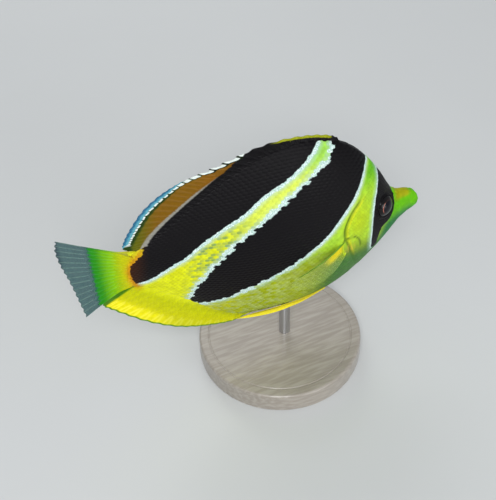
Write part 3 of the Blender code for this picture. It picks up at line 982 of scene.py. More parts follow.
@dataclass(frozen=True)
class SteelFinish:
    """Brushed steel with fine rings round the rod."""

    tone: Colour = srgb(196, 198, 202)

    def make(self, name: str) -> bpy.types.Material:
        """Build the material: a noise pressed flat along Z gives the rings.

        Args:
            name: Its name.

        Returns:
            The material.
        """
        s = Shader(name)
        rings = s.noise(500.0, 3.0, (0.25, 0.25, 8.0))
        s.bump(rings, 0.000002)
        rough = s.sums("MULTIPLY_ADD", rings, 0.15, 0.25)
        return s.finish(self.tone, {"Metallic": 1.0, "Roughness": rough})


@dataclass(frozen=True)
class PlainFinish:
    """Matt surface with a faint mottle, for the floor."""

    tone: Colour = srgb(206, 208, 208)

    def make(self, name: str) -> bpy.types.Material:
        """Build the material: the tone and a slightly deeper one, blended by a noise.

        Args:
            name: Its name.

        Returns:
            The material.
        """
        s = Shader(name)
        deep = tuple(c * 0.97 for c in self.tone)
        return s.finish(s.blend(s.noise(18.0), deep, self.tone), {"Roughness": 0.9})


@dataclass
class Piece:
    """Arrays of one mesh: points, faces of any size, and fields kept on its points."""

    points: Array
    faces: list[Array]
    fields: dict[str, Array] = field(default_factory=dict)
    uv: Array | None = None

    def build(self, name: str, material: bpy.types.Material) -> bpy.types.Object:
        """Make the object, its fields and its smooth shading.

        Args:
            name: The object's name.
            material: Its material.

        Returns:
            The new object, at the origin.
        """
        mesh = bpy.data.meshes.new(name)
        corners = np.concatenate([f.ravel() for f in self.faces]).astype(np.int32)
        sizes = np.concatenate([np.full(len(f), f.shape[1]) for f in self.faces])
        starts = np.concatenate([[0], np.cumsum(sizes)[:-1]]).astype(np.int32)
        mesh.vertices.add(len(self.points))
        mesh.vertices.foreach_set("co", self.points.astype(np.float32).ravel())
        mesh.loops.add(len(corners))
        mesh.loops.foreach_set("vertex_index", corners)
        mesh.polygons.add(len(starts))
        mesh.polygons.foreach_set("loop_start", starts)
        mesh.update(calc_edges=True)
        mesh.validate()
        for key, value in self.fields.items():
            if value.ndim == 2:
                kept = mesh.attributes.new(key, "FLOAT_COLOR", "POINT")
                full = np.concatenate([value, np.ones((len(value), 1))], 1)
                kept.data.foreach_set("color", full.astype(np.float32).ravel())
            else:
                kept = mesh.attributes.new(key, "FLOAT", "POINT")
                kept.data.foreach_set("value", value.astype(np.float32))
        if self.uv is not None:
            layer = mesh.uv_layers.new(name="OFBake")
            layer.data.foreach_set("uv", self.uv[corners].astype(np.float32).ravel())
        mesh.shade_smooth()
        mesh.materials.append(material)
        made = bpy.data.objects.new(name, mesh)
        bpy.context.scene.collection.objects.link(made)
        return made


def grid_faces(rows: int, columns: int, wrap: bool, start: int = 0) -> Array:
    """Four-sided faces of a grid of points kept row by row.

    Args:
        rows: Count of rows of points.
        columns: Count of points in a row.
        wrap: Whether each row closes on itself.
        start: Number of the first point.

    Returns:
        Faces, four point numbers each.
    """
    i = np.arange(rows - 1)[:, None]
    k = np.arange(columns if wrap else columns - 1)[None, :]
    after = (k + 1) % columns
    a, b = i * columns + k, i * columns + after
    faces = np.stack([a, b, b + columns, a + columns], -1)
    return faces.reshape(-1, 4) + start


def tube_faces(rows: int, around: int) -> list[Array]:
    """Faces of a tube of closed rings, with one face across each end.

    Args:
        rows: Count of rings.
        around: Count of points in a ring.

    Returns:
        The faces of the wall and of the two ends.
    """
    ring = np.arange(around)[None, :]
    return [grid_faces(rows, around, True), ring[:, ::-1], ring + (rows - 1) * around]


def outward(piece: Piece) -> Piece:
    """Turn every face round where the mesh is inside out.

    The signed volume is the sum, over the triangles of all faces, of the first corner
    times the cross product of the other two. Below 0, the mesh is inside out.

    Args:
        piece: The arrays of a closed mesh.

    Returns:
        The same piece, its faces outwards.
    """
    total = 0.0
    for faces in piece.faces:
        a = piece.points[faces[:, 0]]
        for k in range(1, faces.shape[1] - 1):
            b, c = piece.points[faces[:, k]], piece.points[faces[:, k + 1]]
            total += float(np.einsum("ij,ij->i", a, np.cross(b, c)).sum())
    if total < 0:
        piece.faces = [f[:, ::-1] for f in piece.faces]
    return piece


def joined(pieces: list[Piece]) -> Piece:
    """One piece of several that have the same fields.

    Args:
        pieces: The pieces, each with places on the unwrapped skin.

    Returns:
        All of them as one.
    """
    starts = np.cumsum([0] + [len(p.points) for p in pieces[:-1]])
    faces = [f + start for p, start in zip(pieces, starts) for f in p.faces]
    fields = {key: np.concatenate([p.fields[key] for p in pieces]) for key in pieces[0].fields}
    return Piece(np.concatenate([p.points for p in pieces]), faces, fields,
                 np.concatenate([p.uv for p in pieces]))


def fit_out(piece: bpy.types.Object, nodes: tuple[str, ...], slot: str) -> bpy.types.Object:
    """Ride on the one body and stand for the nodes.

    Args:
        piece: The finished piece.
        nodes: Nodes of the part that it takes the place of.
        slot: Name of its finish; not used.

    Returns:
        The piece.
    """
    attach(piece, "root")
    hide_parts(*nodes)
    return piece


@dataclass
class Skin:
    """One unbroken skin over head, trunk and tail stock."""

    form: FishForm
    markings: Markings
    head_rows: int = 250
    trunk_rows: int = 190
    around: int = 104
    change: float = 0.33
    spot_share: float = 0.35

    def build(self) -> bpy.types.Object:
        """Make the skin.

        A grid of rings along the body, closer together in front of the change: the right
        half runs from back to belly and the left half returns, each point pushed out by the
        relief. The two ends are closed by faces.

        Returns:
            The skin.
        """
        head = self.change * (np.arange(self.head_rows) / self.head_rows) ** 1.15
        rest = self.change + (1 - self.change) * np.linspace(0.0, 1.0, self.trunk_rows)
        x = np.concatenate([head, rest])
        angle = np.linspace(0.0, math.pi, self.around)
        gx, ga = np.meshgrid(x, angle, indexing="ij")
        right, left = (self.form.surface(gx, ga, np.zeros_like(gx), side) for side in Side)
        points = np.concatenate([right, left[:, ::-1]], 1)
        y = self.form.section(gx, np.cos(ga))[0]
        kept = {}
        for key, value in self.markings.fields(gx.ravel(), y.ravel()).items():
            tall = value.reshape(gx.shape + value.shape[1:])
            both = np.concatenate([tall, tall[:, ::-1]], 1)
            kept[key] = both.reshape((-1,) + value.shape[1:])
        kept["spot"] *= self.spot_share
        kept["hem"] = np.zeros(len(kept["spot"]))
        made = Piece(points.reshape(-1, 3), tube_faces(len(x), 2 * self.around), kept).build(
            "skin", SkinFinish().make("skin"))
        return fit_out(made, ("head", "trunk", "tail_stock"), "skin")


@dataclass
class ScaleBed:
    """Overlapping scales laid over any surface of two parameters."""

    lift: float
    across: int = 5
    length: int = 5
    evenness: float = 0.40
    overlap: float = 1.55
    rim_sunk: float = 0.0010
    edge_shift: tuple[float, float] = (0.0050, 0.0005)
    patch: float = 0.0015

    def pattern(self) -> tuple[Array, Array, Array, Array]:
        """Shape of one scale on a grid of u across it and v along it.

        Its half width is the root of 1 less 0.93 times the square of how far v is past
        0.35, and it narrows a little towards the sunk front end. The rim is its outermost
        ring of points.

        Returns:
            u, v, the half width and the rim, each with a first axis of 1.
        """
        u = np.linspace(-1.0, 1.0, self.across)[None, None, :]
        v = np.linspace(0.0, 1.0, self.length)[None, :, None]
        past = np.clip((v - 0.35) / 0.65, 0.0, 1.0)
        wide = np.sqrt(1.0 - 0.93 * past**2) * np.clip(0.6 + 1.3 * v, 0.0, 1.0)
        rim = (np.abs(u) > 0.99) | (v > 0.99) | (v < 0.01)
        return u, v, wide, rim

    def faces(self, count: int) -> list[Array]:
        """Faces of all scales: the small grid on top and one face that closes it below.

        Args:
            count: Count of scales.

        Returns:
            The faces of the tops and of the undersides.
        """
        per = self.across * self.length
        base = np.arange(count)[:, None, None] * per
        top = (grid_faces(self.length, self.across, False)[None] + base).reshape(-1, 4)
        left = np.arange(self.length) * self.across
        right = left[::-1] + self.across - 1
        rear = np.arange(per - self.across + 1, per - 1)
        front = np.arange(self.across - 2, 0, -1)
        ring = np.concatenate([left, rear, right, front])
        return [top[:, ::-1], ring[None, :] + base[:, :, 0]]

    def lay(self, along: Array, cross: Array, long: Array, wide: Array,
            place: Callable[[Array, Array, Array], Array],
            colours: Callable[[Array, Array], dict[str, Array]], root: Array) -> Piece:
        """Lay scales at many centres.

        A scale reaches (v - 0.6) times the overlap along the surface, in its own lengths,
        with a bulge at its middle, and its half width across it. It rises from a quarter of
        the lift at its front to the full lift at its rear, and its rim turns down into the
        skin. Its colours are read closer to its centre, and a band's edge is shifted a
        little on each scale, so that the edge runs unevenly from scale to scale. A patch
        round its root is its place on the unwrapped skin.

        Args:
            along: Parameters of the centres, along the lie of the scales.
            cross: Parameters of the centres, across it.
            long: Lengths, in the first parameter.
            wide: Half widths, in the second parameter.
            place: Points for both parameters and a lift.
            colours: Fields for both parameters.
            root: Place of each scale on the unwrapped skin.

        Returns:
            The arrays of all scales.
        """
        u, v, half, rim = self.pattern()
        each = (len(along), 1, 1)
        rng = np.random.default_rng(SCALE_SEED)
        vary = rng.uniform(0.93, 1.07, each)
        sway = rng.uniform(-0.05, 0.05, each)
        calm = colours(along, cross).get("calm", np.zeros_like(along)).reshape(each)
        along, cross, long, wide = (w.reshape(each) for w in (along, cross, long, wide))
        bulge = 0.10 * (1 - u**2) * v
        a, b = np.broadcast_arrays(along + long * ((v - 0.6) * self.overlap + bulge) * vary,
                                   cross + wide * (half * u + sway * v))
        rise = self.lift * (0.25 + 0.75 * v) * (1 - 0.25 * u**2)
        rear = rim & (v > 0.99)
        lift = np.where(rear, 0.1 * self.lift, np.where(rim, -self.rim_sunk, rise + 0 * a))
        points = place(a, b, lift)
        near = self.evenness + (0.96 - self.evenness) * calm
        fields = colours((along + near * (a - along)).ravel(), (cross + near * (b - cross)).ravel())
        fields.pop("calm", None)
        if "black" in fields:
            most, least = self.edge_shift
            uneven = rng.uniform(-1.0, 1.0, each) * (most - (most - least) * calm)
            fields["black"] = fields["black"] + (uneven + 0 * a).ravel()
        dull = np.clip(1.3 - np.hypot(u / 0.8, (v - 0.6) / 0.42), 0.0, 1.0) + 0 * a
        strong = np.clip(rng.uniform(-0.3, 1.3, each), 0.0, 1.0) * dull
        fields["spot"] = fields.get("spot", np.zeros(a.size)) * strong.ravel()
        fields["hem"] = (np.clip((v - 0.62) / 0.3, 0.0, 1.0) + 0 * a).ravel()
        square = np.stack(np.broadcast_arrays(u + 0 * a, 2 * v - 1 + 0 * a), -1)
        uv = (root[:, None, None, :] + self.patch * square).reshape(-1, 2)
        return outward(Piece(points.reshape(-1, 3), self.faces(len(along)), fields, uv))


@dataclass
class ScaleCoat:
    """Scales of one part of the flanks: big ones on the trunk, small ones on the head."""

    form: FishForm
    markings: Markings
    name: str
    start: float
    end: float
    pitch: tuple[float, float]
    row: float
    bed: ScaleBed
    on_head: bool
    rows_each_way: int = 46
    arc_reach: float = 0.40
    behind_gill: float = 0.023
    before_gill: float = 0.011
    eye_clear: float = 0.014
    nostril_clear: float = 0.008
    fold_clear: float = 0.011
    patch_clear: float = 0.030
    bare_snout: float = 0.085

    def arc_table(self) -> tuple[Array, Array, Array]:
        """Angles from the back against distance down the section, for many sections.

        The running length of each section is summed from its middle, up being above 0,
        and turned round by interpolation.

        Returns:
            Distances back, arc lengths, and the table of angles.
        """
        x = np.linspace(0.0, 1.0, 161)
        angle = np.linspace(0.0, math.pi, 241)
        middle = len(angle) // 2
        gx, ga = np.meshgrid(x, angle, indexing="ij")
        y, z = self.form.section(gx, np.cos(ga))
        run = np.hypot(np.diff(y, axis=1), np.diff(z, axis=1))
        total = np.concatenate([np.zeros((len(x), 1)), np.cumsum(run, 1)], 1)
        total = total[:, middle:middle + 1] - total
        arc = np.linspace(-self.arc_reach, self.arc_reach, 401)
        table = np.stack([np.interp(-arc, -line, angle) for line in total])
        return x, arc, table

    def angle_at(self, tables: tuple[Array, Array, Array], x: Array, arc: Array) -> Array:
        """Angles from the back, read from the table by blending its four nearest values.

        Args:
            tables: What arc_table gives.
            x: Distances back.
            arc: Arc lengths.

        Returns:
            Angles, of the shape of x.
        """
        xs, arcs, table = tables
        i = np.clip(x / (xs[1] - xs[0]), 0, len(xs) - 1.001)
        j = np.clip((arc - arcs[0]) / (arcs[1] - arcs[0]), 0, len(arcs) - 1.001)
        a, b = i.astype(int), j.astype(int)
        u, v = i - a, j - b
        return ((1 - u) * (1 - v) * table[a, b] + u * (1 - v) * table[a + 1, b]
                + (1 - u) * v * table[a, b + 1] + u * v * table[a + 1, b + 1])

    def centres(self) -> tuple[Array, Array, Array]:
        """Places of the scales: staggered rows, closer together towards the tail.

        The local size grows with the depth of the body, and is 1 all over the head.

        Returns:
            Distances back, arc lengths and local sizes.
        """
        steps = [self.start]
        while steps[-1] < self.end:
            share = (steps[-1] - self.start) / (self.end - self.start)
            steps.append(steps[-1] + self.pitch[0] + (self.pitch[1] - self.pitch[0]) * share)
        xs = np.asarray(steps)
        rows = np.arange(-self.rows_each_way, self.rows_each_way + 1)
        gi, gj = np.meshgrid(np.arange(len(xs) - 1), rows, indexing="ij")
        half = np.where(gj % 2 == 0, 0.0, 0.5)
        x = xs[gi] * (1 - half) + xs[gi + 1] * half
        size = 0.62 + 0.38 * (self.form.back(x) - self.form.belly(x)) / 0.65
        if self.on_head:
            size = np.ones_like(x)
        return x.ravel(), (gj * self.row * size).ravel(), size.ravel()

    def keep(self, x: Array, y: Array, angle: Array) -> Array:
        """Which scales lie where they belong: clear of eye, lips, nostrils and edges.

        Args:
            x: Distances back of their centres.
            y: Heights.
            angle: Angles from the back.

        Returns:
            True for each scale that stays.
        """
        gill = self.form.gill_edge.away(x, y)
        inside = (angle > 0.05) & (angle < math.pi - 0.05)
        if not self.on_head:
            return inside & (gill < -self.behind_gill)
        clear = span(x, y, self.form.eye_place) > self.form.eye_radius + self.eye_clear
        for nostril in self.form.nostrils:
            clear &= span(x, y, nostril) > nostril[2] + self.nostril_clear
        clear &= np.abs(FIN_FOLD.near(x, y)) > self.fold_clear
        # No scales over the patch of painted glint strokes.
        clear &= span(x, y, GLINT_PATCH) > self.patch_clear
        return inside & (gill > self.before_gill) & clear & (x > self.bare_snout)

    def build(self, side: Side) -> bpy.types.Object:
        """Make the scales of one flank as one mesh.

        Args:
            side: The flank.

        Returns:
            The mesh of all scales.
        """
        tables = self.arc_table()
        cx, ca, size = self.centres()
        angle = self.angle_at(tables, cx, ca)
        cy = self.form.section(cx, np.cos(angle))[0]
        chosen = self.keep(cx, cy, angle)
        cx, ca, size, angle = cx[chosen], ca[chosen], size[chosen], angle[chosen]

        def place(x: Array, arc: Array, lift: Array) -> Array:
            """Points on the flank for distances back and arc lengths."""
            x = np.clip(x, 0.02, 0.9999)
            return self.form.surface(x, self.angle_at(tables, x, arc), lift, side)

        def colours(x: Array, arc: Array) -> dict[str, Array]:
            """Fields of the skin for distances back and arc lengths."""
            y = self.form.section(x, np.cos(self.angle_at(tables, x, arc)))[0]
            return self.markings.fields(x, y) | {"calm": self.markings.calm(x, y)}

        shift = 0.5 if side is Side.LEFT else 0.0
        root = np.stack([cx * 0.94 + 0.03, angle / math.pi * 0.44 + 0.03 + shift], -1)
        piece = self.bed.lay(cx, ca, self.pitch[0] * size, 1.12 * self.row * size, place,
                             colours, root)
        made = piece.build(f"{self.name}_{side.word}", SkinFinish().make(self.name))
        return fit_out(made, (), "skin")


@dataclass
class RayFin:
    """A fin of many rays between a line of roots and a line of tips, closed all round."""

    form: FishForm
    markings: Markings
    name: str = ""
    nodes: tuple[str, ...] = ()
    slot: str = ""
    side: Side = Side.RIGHT
    rays: int = 0
    spines: int = 0
    steps: int = 10
    rows: int = 44
    web: float = 0.0013
    ray: float = 0.0030
    spine: float = 0.0055
    branch: float = 0.45
    notch: float = 0.02
    collar: float = 0.0
    reach: float = 0.010
    zones: tuple[Zone, ...] = ()

    def root(self, s: Array) -> Array:
        """Root of the fin at shares s, in body axes."""
        raise NotImplementedError

    def margin(self, s: Array) -> Array:
        """Margin of the fin at shares s, in body axes."""
        raise NotImplementedError

    def drift(self, s: Array, v: Array) -> Array:
        """Offset of the middle of the fin from a straight line from root to tip."""
        return np.zeros(np.broadcast_shapes(s.shape, v.shape) + (3,))

    def colours(self, s: Array, v: Array) -> dict[str, Array]:
        """Fields of the fin's finish."""
        raise NotImplementedError

    def middle(self, s: Array, v: Array, notched: bool = True) -> Array:
        """Middle of the fin at share s of its root and share v out.

        It runs straight from root to tip, plus the drift. Between two rays the tip is drawn
        in by the notch times the sine squared of its place between them.

        Args:
            s: Shares along the root.
            v: Shares out to the margin.
            notched: Whether the margin is scalloped.

        Returns:
            Points in body axes.
        """
        s, v = np.broadcast_arrays(s, v)
        root, tip = self.root(s), self.margin(s)
        if notched:
            between = s * (self.rays + self.spines - 1) % 1.0
            dip = self.notch * np.sin(math.pi * between) ** 2
            tip = tip + (root - tip) * dip[..., None]
        return root * (1 - v[..., None]) + tip * v[..., None] + self.drift(s, v)

    def in_view(self, s: Array, v: Array) -> tuple[Array, Array]:
        """Distances back and heights of the middle of the fin, its margin unscalloped."""
        p = self.middle(s, v, False)
        return p[..., 0], p[..., 1]

    def normal(self, s: Array, v: Array) -> Array:
        """Direction square to the middle of the fin, from its steps along s and v.

        Args:
            s: Shares along the root.
            v: Shares out to the margin.

        Returns:
            Unit vectors in body axes.
        """
        d = 0.002
        s, v = np.broadcast_arrays(s, v)
        along = (self.middle(np.minimum(s + d, 1.0), v, False)
                 - self.middle(np.maximum(s - d, 0.0), v, False))
        out = (self.middle(s, np.minimum(v + d, 1.0), False)
               - self.middle(s, np.maximum(v - d, 0.0), False))
        return unit(np.cross(along, out))

    def thickness(self, s: Array, v: Array) -> tuple[Array, Array]:
        """Half thickness and strength of the rays.

        A ray's ridge is a bell on each whole number of s times the count of rays less 1. Past
        the branching height a soft ray's bell parts in two that draw apart. All thin out
        towards the margin, and a collar blends the root into the flesh.

        Args:
            s: Shares along the root.
            v: Shares out to the margin.

        Returns:
            Half thicknesses in body lengths, and strengths from 0 to 1.
        """
        s, v = np.broadcast_arrays(s, v)
        place = s * (self.rays + self.spines - 1)
        near = np.round(place)
        off = place - near
        hard = near < self.spines
        part = np.where(hard, 0.0, 0.24 * ramp(v, self.branch, 1.0))
        wide = np.where(hard, 0.17, 0.15 - 0.05 * v)
        strength = np.maximum(bell(off - part, wide), bell(off + part, wide))
        high = np.where(hard, self.spine, self.ray) * (1 - 0.55 * v)
        half = self.web + (high - self.web) * strength
        half = half * (1 - 0.6 * ramp(v, 0.9, 1.0))
        if self.collar:
            gone = v * np.linalg.norm(self.margin(s) - self.root(s), axis=-1)
            half = half + self.collar * bell(gone, self.reach)
        return half, strength

    def face(self, s: Array, v: Array, lift: Array | float, turn: float) -> Array:
        """Points on one face of the fin.

        Args:
            s: Shares along the root.
            v: Shares out to the margin.
            lift: Height above the face, in body lengths.
            turn: 1 for the one face and -1 for the other.

        Returns:
            Points in metres in the shared frame.
        """
        out = (self.thickness(s, v)[0] + lift) * turn
        p = self.middle(s, v) + self.normal(s, v) * out[..., None]
        return self.form.place(p[..., 0], p[..., 1], p[..., 2], self.side)

    def piece(self) -> Piece:
        """Both faces as one closed grid, every ray with the same count of columns.

        Returns:
            The arrays of the fin.
        """
        s = np.linspace(0.0, 1.0, (self.rays + self.spines - 1) * self.steps + 1)[:, None]
        v = np.linspace(0.0, 1.0, self.rows + 1)[None, :]
        s, v = np.broadcast_arrays(s, v)
        points = np.stack([self.face(s, v, 0.0, 1.0), self.face(s, v, 0.0, -1.0)])
        rows, columns = s.shape
        size = rows * columns
        front = grid_faces(rows, columns, False)
        index = np.arange(size).reshape(rows, columns)
        rim = np.concatenate([index[:, 0], index[-1, 1:], index[-2::-1, -1], index[0, -2:0:-1]])
        after = np.roll(rim, -1)
        wall = np.stack([rim, after, after + size, rim + size], -1)
        kept = self.colours(s, v)
        kept["ray"] = self.thickness(s, v)[1]
        flat = {key: np.concatenate([value.reshape((size,) + value.shape[2:])] * 2)
                for key, value in kept.items()}
        return outward(Piece(points.reshape(-1, 3), [front[:, ::-1], front + size, wall], flat))

    def build(self) -> list[bpy.types.Object]:
        """Make the fin with its finish and let it stand for its nodes."""
        made = self.piece().build(self.name, FinFinish(self.zones).make(self.name))
        return [fit_out(made, self.nodes, self.slot)]


@dataclass
class MidlineFin(RayFin):
    """A flat fin on the midline whose base is clad in small scales."""

    edge: Path = Path(((0.0, 0.0), (1.0, 0.0)))
    base: tuple[float, float] = (0.0, 1.0)
    sunk: float = 0.004
    on_belly: bool = False
    clad: float = 0.55
    collar: float = 0.0055
    scale_long: float = 0.0125
    scale_wide: float = 0.0060
    pitch_wide: float = 1.75
    pitch_long: float = 0.5

    def margin(self, s: Array) -> Array:
        """Margin along the edge's path, on the midline."""
        tip = self.edge(s)
        return np.concatenate([tip, np.zeros(tip.shape[:-1] + (1,))], -1)

    def root(self, s: Array) -> Array:
        """Roots along the back or the belly, a little sunk in the flesh.

        Args:
            s: Shares along the root.

        Returns:
            Points in body axes.
        """
        x = self.base[0] + (self.base[1] - self.base[0]) * s
        line = self.form.belly(x) + self.sunk if self.on_belly else self.form.back(x) - self.sunk
        return np.stack([x, line, np.zeros_like(x)], -1)

    def scaled(self, s: Array, v: Array) -> Array:
        """Which places of the fin are clad in scales."""
        return v < self.clad

    def scales(self) -> bpy.types.Object:
        """Make the scales of both faces, in staggered rows that run out along the rays.

        Returns:
            The mesh of all scales.
        """
        s = np.linspace(0.0, 1.0, 201)
        reach = np.linalg.norm(self.margin(s) - self.root(s), axis=-1)
        run = np.linalg.norm(np.diff(self.root(s), axis=0), axis=-1).sum()
        apart = self.pitch_wide * self.scale_wide
        columns = np.arange(0.6 * self.scale_wide, run, apart) / run
        rows = np.arange(0.5, 40.0)
        gs, gr = np.meshgrid(columns, rows, indexing="ij")
        gs = gs + np.where(gr % 2 < 1, 0.0, 0.5 * apart / run)
        long = np.interp(gs, s, reach)
        gv = gr * self.pitch_long * self.scale_long / long
        keep = (gs < 0.995) & (gv < 0.97) & self.scaled(np.minimum(gs, 1.0), gv)
        gs, gv, long = gs[keep], gv[keep], long[keep]
        bed = ScaleBed(0.0011, evenness=0.9)
        pieces = []
        for turn in (1.0, -1.0):
            def place(v: Array, t: Array, lift: Array, turn: float = turn) -> Array:
                """Points on one face of the fin, held inside its outline."""
                return self.face(np.clip(t, 0, 1), np.clip(v, 0, 1), lift, turn)

            def colours(v: Array, t: Array) -> dict[str, Array]:
                """Fields of the fin, held inside its outline."""
                return self.colours(np.clip(t, 0, 1), np.clip(v, 0, 1))

            p = self.middle(gs, gv)
            shift = 0.5 if turn > 0 else 0.0
            root = np.stack([p[:, 0] * 0.75 + 0.03, p[:, 1] * 0.6 + 0.25 + shift], -1)
            pieces.append(bed.lay(gv, gs, self.scale_long / long,
                                  np.full_like(gs, self.scale_wide / run), place, colours, root))
        both = joined(pieces)
        both.fields["ray"] = np.zeros(len(both.points))
        made = both.build(self.name + "_scales", FinFinish(self.zones).make(self.name + "_scales"))
        return fit_out(made, (), self.slot)

    def build(self) -> list[bpy.types.Object]:
        """Make the fin and its scales."""
        return super().build() + [self.scales()]


@dataclass
class SpinyBackFin(MidlineFin):
    """Spines folded down over the back: black, with a yellow and a white-dashed edge."""

    name: str = "spiny_back_fin"
    nodes: tuple[str, ...] = ("dorsal_fin_spines",)
    slot: str = "dark_fin"
    spines: int = 13
    steps: int = 16
    rows: int = 30
    notch: float = 0.12
    spine: float = 0.0048
    edge: Path = Path((
        (0.350, 0.326), (0.375, 0.339), (0.42, 0.351), (0.47, 0.358), (0.53, 0.360),
        (0.60, 0.353), (0.67, 0.335), (0.735, 0.315), (0.787, 0.300)))
    base: tuple[float, float] = (0.338, 0.688)
    dash_from: tuple[float, float] = (0.645, 0.665)
    zones: tuple[Zone, ...] = (
        Zone("inner", 0.003, -0.003, srgb(126, 84, 2)),
        Zone("yellow", 0.45, 0.75, srgb(150, 156, 4)), Zone("gap", 0.4, 0.6, srgb(22, 34, 10)),
        Zone("dash", 0.4, 0.6, PALE))

    def colours(self, s: Array, v: Array) -> dict[str, Array]:
        """Black, with the yellow front edge and the white dashes behind.

        Args:
            s: Shares along the root.
            v: Shares out to the margin.

        Returns:
            Fields of the finish.
        """
        x, y = self.in_view(s, v)
        rim = np.abs(self.edge.away(x, y))
        dashed = ramp(x, *self.dash_from)
        dash = ramp(rim, 0.0110, 0.0075) * dashed
        dash = dash * ramp(s * (self.spines - 1) % 1.0, 0.10, 0.30)
        gap = ramp(rim, 0.0150, 0.0120) * dashed
        yellow = ramp(rim, 0.012, 0.004) * ramp(x, 0.352, 0.385) * ramp(x, 0.66, 0.48)
        return {"tint": mix(np.zeros_like(x), DARK, DARK), "solid": np.ones_like(x),
                "yellow": yellow, "dash": dash, "gap": gap,
                "inner": np.where(x > 0.62, GREY_LINE.away(x, y), 0.05)}


@dataclass
class SoftBackFin(MidlineFin):
    """Soft back fin: scaled black base, grey line, orange field, dark and clear edge."""

    name: str = "soft_back_fin"
    nodes: tuple[str, ...] = ("dorsal_fin_soft",)
    slot: str = "orange_fin"
    rays: int = 20
    edge: Path = Path((
        (0.787, 0.300), (0.83, 0.288), (0.87, 0.272), (0.913, 0.247), (0.957, 0.206),
        (0.988, 0.156), (1.006, 0.118), (1.012, 0.088), (0.996, 0.074)))
    base: tuple[float, float] = (0.688, 0.965)
    front: Colour = srgb(140, 88, 0)
    middle_tone: Colour = srgb(126, 88, 0)
    rear: Colour = srgb(84, 100, 0)
    zones: tuple[Zone, ...] = (
        Zone("line", -0.012, -0.006, GREY, 1.0, 0.003), Zone("inner", -0.003, 0.003, DARK),
        Zone("rim", 0.027, 0.020, srgb(34, 60, 10)), Zone("dash", 0.4, 0.6, PALE),
        Zone("rim", 0.0120, 0.0105, srgb(92, 172, 190), 0.85),
        Zone("rim", 0.0085, 0.0030, srgb(24, 110, 148), 0.8))

    def colours(self, s: Array, v: Array) -> dict[str, Array]:
        """Orange, greener to the rear, with fields for its lines and margin.

        Args:
            s: Shares along the root.
            v: Shares out to the margin.

        Returns:
            Fields of the finish.
        """
        x, y = self.in_view(s, v)
        rim = np.abs(self.edge.away(x, y)) / (1 + 0.45 * ramp(x, 0.84, 0.97))
        blue = ramp(x, 0.82, 0.89)
        thick = 0.0095 + 0.0070 * blue
        tint = layered(mix(ramp(x, 0.70, 0.82), self.front, self.middle_tone),
                       (self.rear, ramp(x, 0.90, 0.98) * 0.8))
        part = (0.6 * s + 0.8 * s**2) * (self.rays - 1) % 1.0
        dash = ramp(rim / thick, 1.0, 0.9) * ramp(part, 0.10, 0.35) * ramp(y, 0.080, 0.105)
        rim = rim + 0.012 * (1 - blue) + 0.014 * ramp(y, 0.105, 0.080)
        inner = GREY_LINE.away(x, y)
        line = inner + 0.004 * ramp(x, 0.84, 0.92) - 0.010 * ramp(x, 0.82, 0.72)
        return {"tint": tint, "solid": np.ones_like(x), "rim": rim, "dash": dash,
                "inner": inner, "line": line}

    def scaled(self, s: Array, v: Array) -> Array:
        """The black base and a little beyond it."""
        return GREY_LINE.away(*self.in_view(s, v)) > -0.012


@dataclass
class AnalFin(MidlineFin):
    """Anal fin: olive at its root, strong yellow, a thin green and clear margin."""

    name: str = "yellow_anal_fin"
    nodes: tuple[str, ...] = ("anal_fin",)
    slot: str = "yellow_fin"
    rays: int = 15
    spines: int = 3
    steps: int = 11
    edge: Path = Path((
        (0.592, -0.340), (0.625, -0.352), (0.668, -0.351), (0.715, -0.343),
        (0.770, -0.330), (0.826, -0.310), (0.887, -0.277), (0.948, -0.235),
        (1.005, -0.188), (1.048, -0.150), (1.071, -0.128), (1.075, -0.112)))
    base: tuple[float, float] = (0.575, 0.985)
    on_belly: bool = True
    clad: float = 0.66
    olive: Colour = srgb(196, 202, 0)
    yellow: Colour = srgb(206, 206, 0)
    bright: Colour = srgb(244, 234, 0)
    zones: tuple[Zone, ...] = (
        Zone("rim", 0.0070, 0.0035, srgb(90, 140, 10)),
        Zone("rear", 0.0, 0.012, srgb(72, 128, 10), 0.95))

    def colours(self, s: Array, v: Array) -> dict[str, Array]:
        """Olive to bright yellow, with fields for the margin and the dark rear edge.

        Args:
            s: Shares along the root.
            v: Shares out to the margin.

        Returns:
            Fields of the finish.
        """
        x, y = self.in_view(s, v)
        tint = layered(self.markings.ground(x, y), (self.olive, ramp(v, 0.0, 0.30)),
                       (self.yellow, ramp(v, 0.2, 0.7)),
                       (self.bright, ramp(v, 0.55, 0.8) * ramp(x, 0.80, 0.95)))
        return {"tint": tint, "solid": np.ones_like(x), "rim": np.abs(self.edge.away(x, y)),
                "rear": y + 0.072 + 0.62 * (x - 0.965)}

    def scaled(self, s: Array, v: Array) -> Array:
        """The inner two thirds of the fin."""
        return super().scaled(s, v) & (s < 0.985)


